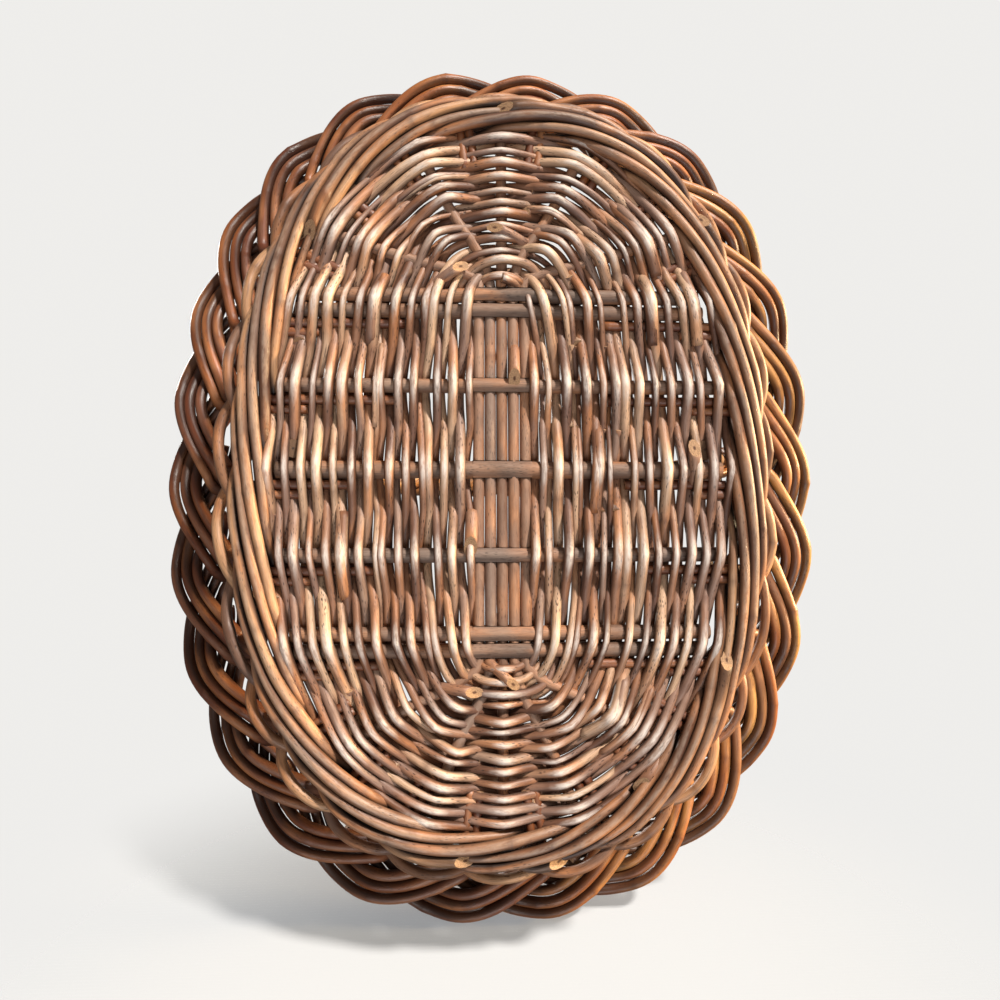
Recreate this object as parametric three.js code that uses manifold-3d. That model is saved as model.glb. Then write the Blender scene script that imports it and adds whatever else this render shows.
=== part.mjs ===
// Oval willow gathering basket with a pierced-stick base, an upsett of waling,
// a rolled border made of its own stakes, and a roped bow handle.
// Millimetres, +Z up. X is the long axis, Y the short one. The origin is the
// middle of the underside, on the surface that the basket stands on.
import * as THREE from "three";
import { mergeVertices } from "three/addons/utils/BufferGeometryUtils.js";
import Module from "manifold-3d";

const wasm = await Module();
wasm.setup();

// Overall sizes
const rimLength = 440;
const rimWidth = 332;
const rimHeight = 64;
const overallHeight = 190;
const baseLength = 353;
const baseWidth = 245;
const ovalPower = 2.3;

// Clearance between pieces that touch
const fit = 0.3;

// Base sticks
const crossStickSpacing = 38.5;
const crossStickThickness = 6.6;
const middleStickThickness = 8;
const pairedStickGap = 0.9;
const stickEndInset = 1;
const longStickThickness = 5;
const slitWall = 1.9;
const slitShoulder = 1.5;
const slitTaper = 7.5;

// Woven field of the base
const weaveRows = 14;
const weaveThickness = 13.4;
const rowRelief = 1.4;
const slotMargin = 3;
const fieldRise = 2.8;
const stepsRoundField = 26;
const slotPower = 5;

// Waling: rounds of three rods that pass outside two stakes and inside one
const waleRodThickness = 4.6;
const waleRounds = 2;
const rodsPerRound = 3;
const waleSlack = 1.05;
const waleSpread = 1.07;
const roundGap = 1;
const roundFlare = 1.5;
const roundStagger = 1.5;
const footFlat = 0.5;

// Stakes: a pair of rods each, turned down into the border
const sideStakes = 5;
const endStakes = 8;
const stakeRodThickness = 4.4;
const stakeInsert = 14;
const stakeStraight = 2;
const stakeBendRise = 1.5;
const stakeBendInset = 0.9;

// Border: each stake sweeps out under the rim, round its outer edge, and back
// over the top, while three of them pass over each other at every place
const borderReach = 12;
const borderDrop = 3.3;
const borderFlatness = 2.5;
const borderPitches = 3;
const borderGroupWidth = 16.5;
const borderRods = 3;
const borderStart = -35;
const borderEnd = 276;
const borderStations = 8;

// Fan of long sticks at each end, in steps from one stake to the next
const fanSteps = [-3, -1.2, 0, 1.2, 3];

// Handle
const bowThickness = 8.5;
const bowTipDepth = 8.2;
const bowBesideGap = 1.2;
const bowShoulderRise = 6;
const bowShoulderSwell = 1.01;
const bowStations = 26;
const ropingThickness = 3.6;
const ropingTurns = 6;
const ropingRods = 3;
const ropingStepsPerTurn = 7;
const ropingStart = 0.085;

const stakeCount = 2 * (sideStakes + endStakes);
const stakeWidth = 2 * stakeRodThickness;
const deckHeight = fieldRise + weaveThickness / 2;
const sidesRound = 6;
const cornerReach = 0.9;
const cornerHeight = 0.85;
const grooveHeight = 0.36;
const sidesOfBow = 8;
const sidesOfRoping = 5;
const outerStick = ((sideStakes - 1) / 2) * crossStickSpacing + pairedStickGap / 2 + crossStickThickness;
const slotHalfLength = outerStick + slotMargin;

// A point that moves at even speed round an oval, with its outward normal.
class Oval {
  constructor(halfLength, halfWidth, power) {
    this.points = [];
    this.runs = [0];
    const steps = 1440;
    for (let i = 0; i <= steps; i++) {
      const t = (i / steps) * 2 * Math.PI;
      const bend = (v) => Math.sign(v) * Math.abs(v) ** (2 / power);
      this.points.push([halfLength * bend(Math.cos(t)), halfWidth * bend(Math.sin(t))]);
      if (i > 0) {
        const [x0, y0] = this.points[i - 1];
        const [x1, y1] = this.points[i];
        this.runs.push(this.runs[i - 1] + Math.hypot(x1 - x0, y1 - y0));
      }
    }
    this.length = this.runs[steps];
  }

  at(u) {
    const run = (u - Math.floor(u)) * this.length;
    let low = 0;
    let high = this.runs.length - 1;
    while (high - low > 1) {
      const middle = (low + high) >> 1;
      if (this.runs[middle] <= run) low = middle;
      else high = middle;
    }
    const part = (run - this.runs[low]) / (this.runs[high] - this.runs[low]);
    const [x0, y0] = this.points[low];
    const [x1, y1] = this.points[high];
    return new THREE.Vector2(x0 + (x1 - x0) * part, y0 + (y1 - y0) * part);
  }

  normal(u) {
    const step = 0.004;
    const along = this.at(u + step).sub(this.at(u - step)).normalize();
    return new THREE.Vector2(along.y, -along.x);
  }

  // The place beside the oval at this distance outward, and at this height.
  place(u, outward, z) {
    const p = this.at(u).addScaledVector(this.normal(u), outward);
    return new THREE.Vector3(p.x, p.y, z);
  }

  // How far round the point with this x lies, on the +Y or the -Y side.
  whereX(x, side) {
    let low = side > 0 ? 0 : 0.5;
    let high = low + 0.5;
    for (let i = 0; i < 40; i++) {
      const middle = (low + high) / 2;
      const beyond = this.at(middle).x > x;
      if (beyond === side > 0) low = middle;
      else high = middle;
    }
    return (low + high) / 2;
  }
}

// Joins rings of points, one after another, into one closed body.
function loft(rings) {
  const sides = rings[0].length;
  const positions = [];
  const faces = [];
  for (const ring of rings) for (const p of ring) positions.push(p.x, p.y, p.z);
  for (let i = 0; i + 1 < rings.length; i++)
    for (let j = 0; j < sides; j++) {
      const a = i * sides + j;
      const b = i * sides + ((j + 1) % sides);
      faces.push(a, b, b + sides, a, b + sides, a + sides);
    }
  const last = (rings.length - 1) * sides;
  for (let j = 1; j + 1 < sides; j++) {
    faces.push(0, j + 1, j);
    faces.push(last, last + j, last + j + 1);
  }
  return closedGeometry(positions, faces);
}

// Joins rings that close on themselves both ways, as a band with a thickness.
function loftRound(rings) {
  const sides = rings[0].length;
  const positions = [];
  const faces = [];
  for (const ring of rings) for (const p of ring) positions.push(p.x, p.y, p.z);
  for (let i = 0; i < rings.length; i++)
    for (let j = 0; j < sides; j++) {
      const next = ((i + 1) % rings.length) * sides;
      const a = i * sides + j;
      const b = i * sides + ((j + 1) % sides);
      const c = next + ((j + 1) % sides);
      const d = next + j;
      faces.push(a, b, c, a, c, d);
    }
  return closedGeometry(positions, faces);
}

function closedGeometry(positions, faces) {
  const geometry = new THREE.BufferGeometry();
  geometry.setAttribute("position", new THREE.Float32BufferAttribute(positions, 3));
  geometry.setIndex(faces);
  return geometry;
}

// A ring of points in the plane of two directions.
function ellipseRing(centre, wide, thick, halfWide, halfThick, sides) {
  const ring = [];
  for (let j = 0; j < sides; j++) {
    const t = (j / sides) * 2 * Math.PI;
    ring.push(
      centre
        .clone()
        .addScaledVector(wide, halfWide * Math.cos(t))
        .addScaledVector(thick, halfThick * Math.sin(t)),
    );
  }
  return ring;
}

// A ring round rods that lie side by side: an oval at no ribbing, and at full
// ribbing a crest for each rod and a groove between each two, on both faces.
function groupRing(centre, wide, thick, halfWide, halfThick, ribbing) {
  const face = [];
  const last = 2 * borderRods - 2;
  for (let k = 0; k <= last; k++) {
    const outermost = k === 0 || k === last;
    const even = 1 - (k + 1) / borderRods;
    const across = outermost ? Math.sign(even) * cornerReach : even;
    const oval = Math.sqrt(1 - across ** 2);
    const crest = outermost ? cornerHeight : 1;
    const ribbed = k % 2 === 0 ? crest : grooveHeight;
    face.push([halfWide * across, halfThick * THREE.MathUtils.lerp(oval, ribbed, ribbing)]);
  }
  const outline = [...face, ...face.map(([across, up]) => [-across, -up])];
  return outline.map(([across, up]) =>
    centre.clone().addScaledVector(wide, across).addScaledVector(thick, up),
  );
}

// A round rod of one thickness along a list of points.
function rod(points, thickness, sides) {
  const directions = points.map((p, i) => {
    const before = points[Math.max(i - 1, 0)];
    const after = points[Math.min(i + 1, points.length - 1)];
    return after.clone().sub(before).normalize();
  });
  const start = Math.abs(directions[0].z) < 0.8 ? new THREE.Vector3(0, 0, 1) : new THREE.Vector3(1, 0, 0);
  let wide = start.clone().cross(directions[0]).normalize();
  const rings = points.map((p, i) => {
    wide = wide.clone().addScaledVector(directions[i], -wide.dot(directions[i])).normalize();
    const thick = directions[i].clone().cross(wide);
    return ellipseRing(p, wide, thick, thickness / 2, thickness / 2, sides);
  });
  return loft(rings);
}

function toSolid(geometry) {
  const plain = geometry.index ? geometry : mergeVertices(geometry);
  const merged = mergeVertices(plain, 1e-4);
  return new wasm.Manifold(
    new wasm.Mesh({
      numProp: 3,
      vertProperties: new Float32Array(merged.getAttribute("position").array),
      triVerts: new Uint32Array(merged.index.array),
    }),
  );
}

function toGeometry(solid) {
  const mesh = solid.getMesh();
  const geometry = new THREE.BufferGeometry();
  geometry.setAttribute("position", new THREE.BufferAttribute(new Float32Array(mesh.vertProperties), 3));
  geometry.setIndex(new THREE.BufferAttribute(new Uint32Array(mesh.triVerts), 1));
  return geometry;
}

function box(minX, minY, minZ, maxX, maxY, maxZ) {
  const geometry = new THREE.BoxGeometry(maxX - minX, maxY - minY, maxZ - minZ);
  geometry.translate((minX + maxX) / 2, (minY + maxY) / 2, (minZ + maxZ) / 2);
  geometry.deleteAttribute("normal");
  geometry.deleteAttribute("uv");
  return toSolid(mergeVertices(geometry));
}

// Where the wale rods run beside the line of stakes
const waleSwing = (stakeRodThickness + waleRodThickness + 2 * fit + 2 * waleSlack) * (2 / 3);
const waleShift = waleSwing / 4;
const waleLift = (waleRodThickness * waleSpread + fit) / 2;
const waleOutside = waleShift + waleSwing + waleRodThickness / 2;
const waleInside = waleSwing - waleShift + waleRodThickness / 2;
const roundHeight = 2 * waleLift + waleRodThickness + roundGap;
const sixthTurn = Math.sin(Math.PI / 3);
const footHeight = waleLift + (waleRodThickness / 2) * sixthTurn - footFlat;

const stakeRing = new Oval(baseLength / 2 - waleOutside, baseWidth / 2 - waleOutside, ovalPower);
const borderOutside = borderReach + (cornerReach * borderGroupWidth) / 2;
const rimRing = new Oval(rimLength / 2 - borderOutside, rimWidth / 2 - borderOutside, ovalPower);
const borderHeight = rimHeight - borderDrop - stakeRodThickness / 2;

// Stakes stand beside the ends of the cross sticks on the long sides, all on
// the same side of their stick, and share the two short ends evenly.
function stakePlaces() {
  const rank = (sideStakes - 1) / 2;
  const places = [];
  for (const side of [1, -1]) {
    const row = [];
    for (let k = 0; k < sideStakes; k++) {
      const stickX = side * (rank - k) * crossStickSpacing;
      const outermost = k === 0 || k === sideStakes - 1;
      const stickHalf = outermost ? pairedStickGap / 2 + crossStickThickness : middleStickThickness / 2;
      const beside = stickHalf + stakeWidth / 2 + 2 * fit;
      row.push(stakeRing.whereX(stickX - beside, side));
    }
    places.push(row);
  }
  const [plus, minus] = places;
  const all = [...plus];
  const between = (from, to) => {
    for (let k = 1; k <= endStakes; k++) all.push(from + ((to - from) * k) / (endStakes + 1));
  };
  between(plus[sideStakes - 1], minus[0]);
  all.push(...minus);
  between(minus[sideStakes - 1], plus[0] + 1);
  return all;
}
const stakeAt = stakePlaces();

// The way round the stake ring, counted in stakes.
function ringPlace(count) {
  const whole = Math.floor(count);
  const turn = Math.floor(whole / stakeCount);
  const here = stakeAt[whole - turn * stakeCount] + turn;
  const nextIndex = whole + 1 - turn * stakeCount;
  const next = nextIndex < stakeCount ? stakeAt[nextIndex] + turn : stakeAt[0] + turn + 1;
  return here + (next - here) * (count - whole);
}

const basket = new THREE.Group();

function addPiece(name, geometry, colour, roughness) {
  const material = new THREE.MeshStandardMaterial({ color: colour, roughness, metalness: 0 });
  geometry.computeVertexNormals();
  const mesh = new THREE.Mesh(geometry, material);
  mesh.name = name;
  basket.add(mesh);
}

// Cross sticks: swollen and slit in the middle, where the long sticks go through.
function crossSticks() {
  const rank = (sideStakes - 1) / 2;
  const sticks = [];
  for (let k = -rank; k <= rank; k++) {
    const x = k * crossStickSpacing;
    if (Math.abs(k) === rank) {
      const half = (crossStickThickness + pairedStickGap) / 2;
      sticks.push({ x: x - half, thickness: crossStickThickness });
      sticks.push({ x: x + half, thickness: crossStickThickness });
    } else {
      sticks.push({ x, thickness: k === 0 ? middleStickThickness : crossStickThickness });
    }
  }
  return sticks;
}

const longStickPitch = longStickThickness + fit;
const slitHalfLength = (fanSteps.length * longStickPitch + fit) / 2;
const slitHalfHeight = longStickThickness / 2 + fit;
const slotHalfWidth = slitHalfLength - fit;
const fieldEdge = -waleInside - fit;

function crossStickSolid(stick, spare) {
  const reach = stakeRing.place(stakeRing.whereX(stick.x, 1), fieldEdge, 0).y - stickEndInset;
  const half = stick.thickness / 2 + spare;
  const swollen = slitHalfHeight + slitWall + spare;
  const end = reach + (spare > 0 ? stick.thickness : 0);
  const shoulder = slitHalfLength + slitShoulder;
  const stations = [
    [-end, half],
    [-shoulder - slitTaper, half],
    [-shoulder, swollen],
    [shoulder, swollen],
    [shoulder + slitTaper, half],
    [end, half],
  ];
  const rings = stations.map(([y, halfHeight]) =>
    ellipseRing(
      new THREE.Vector3(stick.x, y, deckHeight),
      new THREE.Vector3(0, 0, 1),
      new THREE.Vector3(1, 0, 0),
      halfHeight,
      half,
      sidesRound,
    ),
  );
  return toSolid(loft(rings));
}

// Long sticks: side by side through the slits, then spread into a fan at each end.
function longStickSolid(index, spare) {
  const y = (index - (fanSteps.length - 1) / 2) * longStickPitch;
  const fan = (end) => {
    const from = end > 0 ? 2 * sideStakes + endStakes - 1 : sideStakes - 1;
    const u = ringPlace(from + (endStakes + 1) / 2 + end * fanSteps[index]);
    return stakeRing.place(u, fieldEdge - stickEndInset, deckHeight);
  };
  const half = [];
  for (const end of [-1, 1]) {
    const tip = fan(end);
    const neck = new THREE.Vector3(end * slotHalfLength, y, deckHeight);
    const bend = neck.clone().lerp(tip, 1 / 5).setY(y + (tip.y - y) / 8);
    const middle = neck.clone().lerp(tip, 1 / 2);
    const side = [neck, bend, middle, tip];
    if (spare > 0) side.push(tip.clone().lerp(middle, -1 / 5));
    half.push(side);
  }
  const points = [...half[0].reverse(), ...half[1]];
  return toSolid(rod(points, longStickThickness + 2 * spare, sidesRound));
}

// Beside a cross stick a stake runs as the stick does, and at the ends of the
// basket straight out from the base.
function footDirection(index) {
  const half = index % (sideStakes + endStakes);
  const side = index < sideStakes + endStakes ? 1 : -1;
  return half < sideStakes ? new THREE.Vector2(0, side) : stakeRing.normal(stakeAt[index]);
}

// The path of a stake: into the base, up through the waling, and once round
// the rim from below to the outer edge, over the top and back inside.
function stakeStations(index) {
  const stations = [];
  const foot = stakeAt[index];
  const bendUp = footHeight + roundHeight;
  const wall = [
    [fieldEdge - stakeInsert, deckHeight],
    [fieldEdge + stakeStraight, deckHeight],
    [-stakeBendInset, deckHeight + stakeBendRise],
    [roundFlare, bendUp - waleLift],
    [roundFlare, bendUp + waleLift + (waleRodThickness + stakeRodThickness) / 2 + 3 * fit],
  ];
  const outside = footDirection(index);
  const upright = stakeRing.normal(foot);
  for (const [outward, z] of wall) {
    const p = stakeRing.at(foot).addScaledVector(outside, outward);
    const across = z > deckHeight ? upright : outside;
    const wide = new THREE.Vector3(-across.y, across.x, 0);
    stations.push({ centre: new THREE.Vector3(p.x, p.y, z), wide, width: stakeWidth, ribbing: 0 });
  }

  const rimStart = 0.25 + (index - (sideStakes - 1) / 2) / stakeCount;
  const roll = [];
  for (let i = 0; i < borderStations; i++) {
    const degrees = borderStart + ((borderEnd - borderStart) * i) / (borderStations - 1);
    const angle = THREE.MathUtils.degToRad(degrees);
    const u = rimStart + ((degrees - borderStart) / 360) * (borderPitches / stakeCount);
    const drop = Math.tanh(borderFlatness * Math.cos(angle)) / Math.tanh(borderFlatness);
    roll.push(rimRing.place(u, borderReach * Math.sin(angle), borderHeight - borderDrop * drop));
  }
  const up = new THREE.Vector3(0, 0, 1);
  roll.forEach((centre, i) => {
    const before = i > 0 ? roll[i - 1] : stations[stations.length - 1].centre;
    const after = i + 1 < roll.length ? roll[i + 1] : centre;
    const wide = up.clone().cross(after.clone().sub(before)).normalize();
    const width = i === 0 ? (stakeWidth + borderGroupWidth) / 2 : borderGroupWidth;
    stations.push({ centre, wide, width, ribbing: 1 });
  });
  return stations;
}

function stakeSolid(index, count, spare) {
  const stations = stakeStations(index).slice(0, count);
  const rings = stations.map((station, i) => {
    const before = stations[Math.max(i - 1, 0)].centre;
    const after = stations[Math.min(i + 1, stations.length - 1)].centre;
    const direction = after.clone().sub(before).normalize();
    const wide = station.wide.clone().addScaledVector(direction, -station.wide.dot(direction)).normalize();
    const thick = direction.clone().cross(wide);
    return groupRing(
      station.centre,
      wide,
      thick,
      station.width / 2 + spare,
      stakeRodThickness / 2 + spare,
      station.ribbing,
    );
  });
  return toSolid(loft(rings));
}

// One rod of a round of waling: inside one stake, outside the next two.
function waleSolid(round, strand) {
  const points = [];
  const shift = round * roundStagger;
  for (let i = 0; i < 2 * stakeCount; i++) {
    const count = i / 2;
    const phase = ((count + shift + strand) / rodsPerRound) * 2 * Math.PI;
    const outward = round * roundFlare + waleShift - waleSwing * Math.cos(phase);
    const rise = THREE.MathUtils.clamp(-Math.sin(phase) / sixthTurn, -1, 1);
    const z = footHeight + round * roundHeight + waleLift * rise;
    points.push(stakeRing.place(ringPlace(count + shift), outward, z));
  }
  const solid = toSolid(rod(points, waleRodThickness, sidesRound));
  if (round > 0) return solid;
  const span = rimLength;
  return solid.subtract(box(-span, -span, -span, span, span, 0));
}

// The woven field: an oval plate of weaver rows with a way through for each stick.
function fieldSolid(cutters) {
  const inner = new Oval(slotHalfLength, slotHalfWidth, slotPower);
  const rings = [];
  for (let i = 0; i < stepsRoundField; i++) {
    const u = i / stepsRoundField;
    const from = inner.at(u);
    const to = stakeRing.place(u, fieldEdge, 0);
    const top = [];
    const bottom = [];
    for (let k = 0; k <= 2 * weaveRows; k++) {
      const part = k / (2 * weaveRows);
      const trough = k % 2 === 0;
      const half = weaveThickness / 2 - (trough ? rowRelief : 0);
      const x = from.x + (to.x - from.x) * part;
      const y = from.y + (to.y - from.y) * part;
      top.push(new THREE.Vector3(x, y, deckHeight + half));
      bottom.unshift(new THREE.Vector3(x, y, deckHeight - half));
    }
    rings.push([...bottom, ...top]);
  }
  let solid = toSolid(loftRound(rings));
  for (const cutter of cutters) solid = solid.subtract(cutter);
  return solid;
}

// The bow: a bent rod whose tips are pushed into the base beside the middle stick.
const bowBeside = (middleStickThickness + bowThickness) / 2 + bowBesideGap;
const ropingReach = (bowThickness / 2 + 2 * fit + ropingThickness / 2) / Math.cos(Math.PI / ropingStepsPerTurn);
const rimInside = rimWidth / 2 - 2 * borderOutside;
const bowAtRim = rimInside - ropingReach - ropingThickness / 2 - 2 * fit;
const bowAtTip = baseWidth / 2 - waleOutside - waleInside - bowThickness - fit;
const bowTop = overallHeight - ropingReach - ropingThickness / 2;
const bowShoulder = rimHeight + bowShoulderRise;

function bowPath() {
  const halfPoints = [
    [bowAtTip, bowTipDepth],
    [(bowAtTip + bowAtRim) / 2, (bowTipDepth + borderHeight) / 2],
    [bowAtRim, borderHeight],
  ];
  const rise = bowTop - bowShoulder;
  for (const degrees of [0, 22, 45, 68])
    halfPoints.push([
      bowAtRim * bowShoulderSwell * Math.cos(THREE.MathUtils.degToRad(degrees)),
      bowShoulder + rise * Math.sin(THREE.MathUtils.degToRad(degrees)),
    ]);
  const place = (across, z) => new THREE.Vector3(bowBeside, across, z);
  const one = halfPoints.map(([across, z]) => place(across, z));
  const other = halfPoints.map(([across, z]) => place(-across, z)).reverse();
  return new THREE.CatmullRomCurve3([...one, place(0, bowTop), ...other], false, "centripetal");
}

function bowSolid(spare) {
  const points = bowPath().getSpacedPoints(bowStations);
  if (spare > 0) points[0].z -= spare;
  if (spare > 0) points[points.length - 1].z -= spare;
  return toSolid(rod(points, bowThickness + 2 * spare, sidesOfBow));
}

// Roping: rods that wind side by side round the bow from one wall to the other.
function ropingSolid(index) {
  const path = bowPath();
  const steps = ropingStepsPerTurn * ropingTurns;
  const up = new THREE.Vector3(1, 0, 0);
  const points = [];
  for (let i = 0; i <= steps; i++) {
    const part = i / steps;
    const at = ropingStart + (1 - 2 * ropingStart) * part;
    const direction = path.getTangentAt(at);
    const side = direction.clone().cross(up).normalize();
    const over = side.clone().cross(direction).normalize();
    const angle = (part * ropingTurns + index / ropingRods) * 2 * Math.PI;
    points.push(
      path
        .getPointAt(at)
        .addScaledVector(side, ropingReach * Math.cos(angle))
        .addScaledVector(over, ropingReach * Math.sin(angle)),
    );
  }
  return toSolid(rod(points, ropingThickness, sidesOfRoping));
}

const sticks = crossSticks();
const cutters = [bowSolid(fit)];

sticks.forEach((stick, i) => {
  const span = 3 * crossStickThickness;
  const slit = box(
    stick.x - span,
    -slitHalfLength,
    deckHeight - slitHalfHeight,
    stick.x + span,
    slitHalfLength,
    deckHeight + slitHalfHeight,
  );
  const solid = crossStickSolid(stick, 0).subtract(slit);
  addPiece(`cross_stick_${i + 1}`, toGeometry(solid), 0x82634f, 0.75);
  cutters.push(crossStickSolid(stick, fit));
});

for (let i = 0; i < fanSteps.length; i++) {
  addPiece(`long_stick_${i + 1}`, toGeometry(longStickSolid(i, 0)), 0x9c7258, 0.7);
  cutters.push(longStickSolid(i, fit));
}

for (let i = 0; i < stakeCount; i++) {
  const name = `border_stake_${String(i + 1).padStart(2, "0")}`;
  addPiece(name, toGeometry(stakeSolid(i, Infinity, 0)), 0xa9714a, 0.6);
  cutters.push(stakeSolid(i, 2, fit));
}

addPiece("base_weave", toGeometry(fieldSolid(cutters)), 0xa98268, 0.7);

for (let round = 0; round < waleRounds; round++)
  for (let strand = 0; strand < rodsPerRound; strand++) {
    const name = `${round === 0 ? "upsett_rod" : "wale_rod"}_${strand + 1}`;
    addPiece(name, toGeometry(waleSolid(round, strand)), 0xb07a50, 0.6);
  }

addPiece("handle_bow", toGeometry(bowSolid(0)), 0x8f6848, 0.65);
for (let i = 0; i < ropingRods; i++)
  addPiece(`handle_roping_${i + 1}`, toGeometry(ropingSolid(i)), 0xb98250, 0.6);

export default basket;
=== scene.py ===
# Oval willow gathering basket, with every stick, weaver, wale, stake and handle
# rod as a rod of its own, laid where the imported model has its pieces.
# Metres. +X is the long axis, +Y the short one, +Z up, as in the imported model.
import math
import bpy
import numpy as np
from mathutils import Matrix, Vector


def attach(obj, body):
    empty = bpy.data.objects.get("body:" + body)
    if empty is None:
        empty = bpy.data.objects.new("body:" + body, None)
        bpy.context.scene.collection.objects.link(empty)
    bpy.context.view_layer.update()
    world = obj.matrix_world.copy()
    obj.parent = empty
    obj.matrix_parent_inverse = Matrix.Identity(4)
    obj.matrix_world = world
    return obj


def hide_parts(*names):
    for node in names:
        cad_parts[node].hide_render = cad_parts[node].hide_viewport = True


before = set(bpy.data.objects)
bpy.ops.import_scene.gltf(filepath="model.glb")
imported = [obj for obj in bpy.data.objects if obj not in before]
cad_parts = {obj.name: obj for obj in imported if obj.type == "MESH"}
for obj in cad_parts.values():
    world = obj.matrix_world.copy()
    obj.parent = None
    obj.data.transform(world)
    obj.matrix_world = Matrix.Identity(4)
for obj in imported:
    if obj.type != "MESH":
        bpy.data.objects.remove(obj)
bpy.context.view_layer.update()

chance = np.random.default_rng(11)

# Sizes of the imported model
rim_length = 0.440
rim_width = 0.332
rim_height = 0.064
overall_height = 0.190
base_length = 0.353
base_width = 0.245
oval_power = 2.3
fit = 0.0003
cross_stick_spacing = 0.0385
cross_stick_thickness = 0.0066
middle_stick_thickness = 0.008
paired_stick_gap = 0.0009
stick_end_inset = 0.001
long_stick_thickness = 0.005
slit_wall = 0.0019
slit_shoulder = 0.0015
slit_taper = 0.0075
weave_rows = 14
weave_thickness = 0.0134
slot_margin = 0.003
slot_power = 5
field_rise = 0.0028
wale_rod_thickness = 0.0046
rods_per_round = 3
wale_slack = 0.00105
wale_spread = 1.07
round_stagger = 1.5
side_stakes = 5
end_stakes = 8
stake_rod_thickness = 0.0044
stake_insert = 0.014
stake_straight = 0.002
stake_bend_rise = 0.0015
stake_bend_inset = 0.0009
border_reach = 0.012
border_drop = 0.0033
border_flatness = 2.5
border_pitches = 3
border_group_width = 0.0165
corner_reach = 0.9
border_start = -35
border_end = 276
# Where the ends of the long sticks lie in the fan, counted in stakes from the middle
fan_steps = (-3, -1.2, 0, 1.2, 3)
bow_thickness = 0.0085
bow_tip_depth = 0.0082
bow_beside_gap = 0.0012
bow_shoulder_rise = 0.006
bow_shoulder_swell = 1.01
roping_thickness = 0.0036
roping_turns = 6
roping_rods = 3
roping_steps_per_turn = 7
roping_start = 0.085

# How finely curves are worked out
oval_points = 1441
normal_step = 0.004
curve_parts = 24
stick_path_step = 0.004
stake_path_step = 0.003

# Places that follow from those sizes
stake_count = 2 * (side_stakes + end_stakes)
stake_width = 2 * stake_rod_thickness
deck_height = field_rise + weave_thickness / 2
side_rank = (side_stakes - 1) // 2
paired_half = paired_stick_gap / 2 + cross_stick_thickness
outer_stick = side_rank * cross_stick_spacing + paired_half
slot_half_length = outer_stick + slot_margin
long_stick_pitch = long_stick_thickness + fit
slit_half_length = (len(fan_steps) * long_stick_pitch + fit) / 2
slit_half_height = long_stick_thickness / 2 + fit
slot_half_width = slit_half_length - fit
wale_swing = (stake_rod_thickness + wale_rod_thickness + 2 * fit + 2 * wale_slack) * 2 / 3
wale_shift = wale_swing / 4
wale_lift = (wale_rod_thickness * wale_spread + fit) / 2
wale_outside = wale_shift + wale_swing + wale_rod_thickness / 2
wale_inside = wale_swing - wale_shift + wale_rod_thickness / 2
field_edge = -wale_inside - fit
border_outside = border_reach + corner_reach * border_group_width / 2
border_height = rim_height - border_drop - stake_rod_thickness / 2


class Oval:
    """An oval walked at even speed, from 0 at its +X tip counter-clockwise to 1."""

    def __init__(self, half_length, half_width, power):
        self.half_length = half_length
        self.half_width = half_width
        self.power = power
        self.turn = np.linspace(0, 2 * math.pi, oval_points)
        self.x = half_length * self.bend(np.cos(self.turn))
        self.y = half_width * self.bend(np.sin(self.turn))
        run = np.concatenate([[0], np.cumsum(np.hypot(np.diff(self.x), np.diff(self.y)))])
        self.length = run[-1]
        self.share = run / run[-1]

    def bend(self, v):
        return np.sign(v) * np.abs(v) ** (2 / self.power)

    def at(self, u):
        share = np.mod(u, 1.0)
        x = np.interp(share, self.share, self.x)
        y = np.interp(share, self.share, self.y)
        return np.stack([x, y], axis=-1)

    def normal(self, u):
        """Which way is straight out of the oval."""
        along = self.at(np.asarray(u) + normal_step) - self.at(np.asarray(u) - normal_step)
        along /= np.linalg.norm(along, axis=-1, keepdims=True)
        return np.stack([along[..., 1], -along[..., 0]], axis=-1)

    def place(self, u, outward, z):
        """The point beside the oval, this far outward and at this height."""
        flat = self.at(u) + self.normal(u) * np.asarray(outward)[..., None]
        high = np.broadcast_to(np.asarray(z), flat.shape[:-1])
        return np.concatenate([flat, high[..., None]], axis=-1)

    def where_x(self, x, side):
        """How far round the point with this x lies, on the +Y or the -Y side."""
        half = len(self.turn) // 2
        if side > 0:
            return np.interp(-x, -self.x[: half + 1], self.share[: half + 1])
        return np.interp(x, self.x[half:], self.share[half:])

    def under(self, x, y):
        """How far round the oval the ray from the middle through a point is."""
        bent_x = np.sign(x) * np.abs(x / self.half_length) ** (self.power / 2)
        bent_y = np.sign(y) * np.abs(y / self.half_width) ** (self.power / 2)
        turn = np.mod(np.arctan2(bent_y, bent_x), 2 * math.pi)
        return np.interp(turn, self.turn, self.share)

    def depth(self, x, y):
        """Below 1 inside the oval, and above 1 outside it."""
        return np.abs(x / self.half_length) ** self.power + np.abs(y / self.half_width) ** self.power


stake_ring = Oval(base_length / 2 - wale_outside, base_width / 2 - wale_outside, oval_power)
rim_ring = Oval(rim_length / 2 - border_outside, rim_width / 2 - border_outside, oval_power)


def cross_stick_places():
    """The x and the thickness of each cross stick: pairs outside, singles between."""
    places = []
    for k in range(-side_rank, side_rank + 1):
        x = k * cross_stick_spacing
        if abs(k) == side_rank:
            half = (cross_stick_thickness + paired_stick_gap) / 2
            places.append((x - half, cross_stick_thickness))
            places.append((x + half, cross_stick_thickness))
        else:
            places.append((x, middle_stick_thickness if k == 0 else cross_stick_thickness))
    return places


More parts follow.
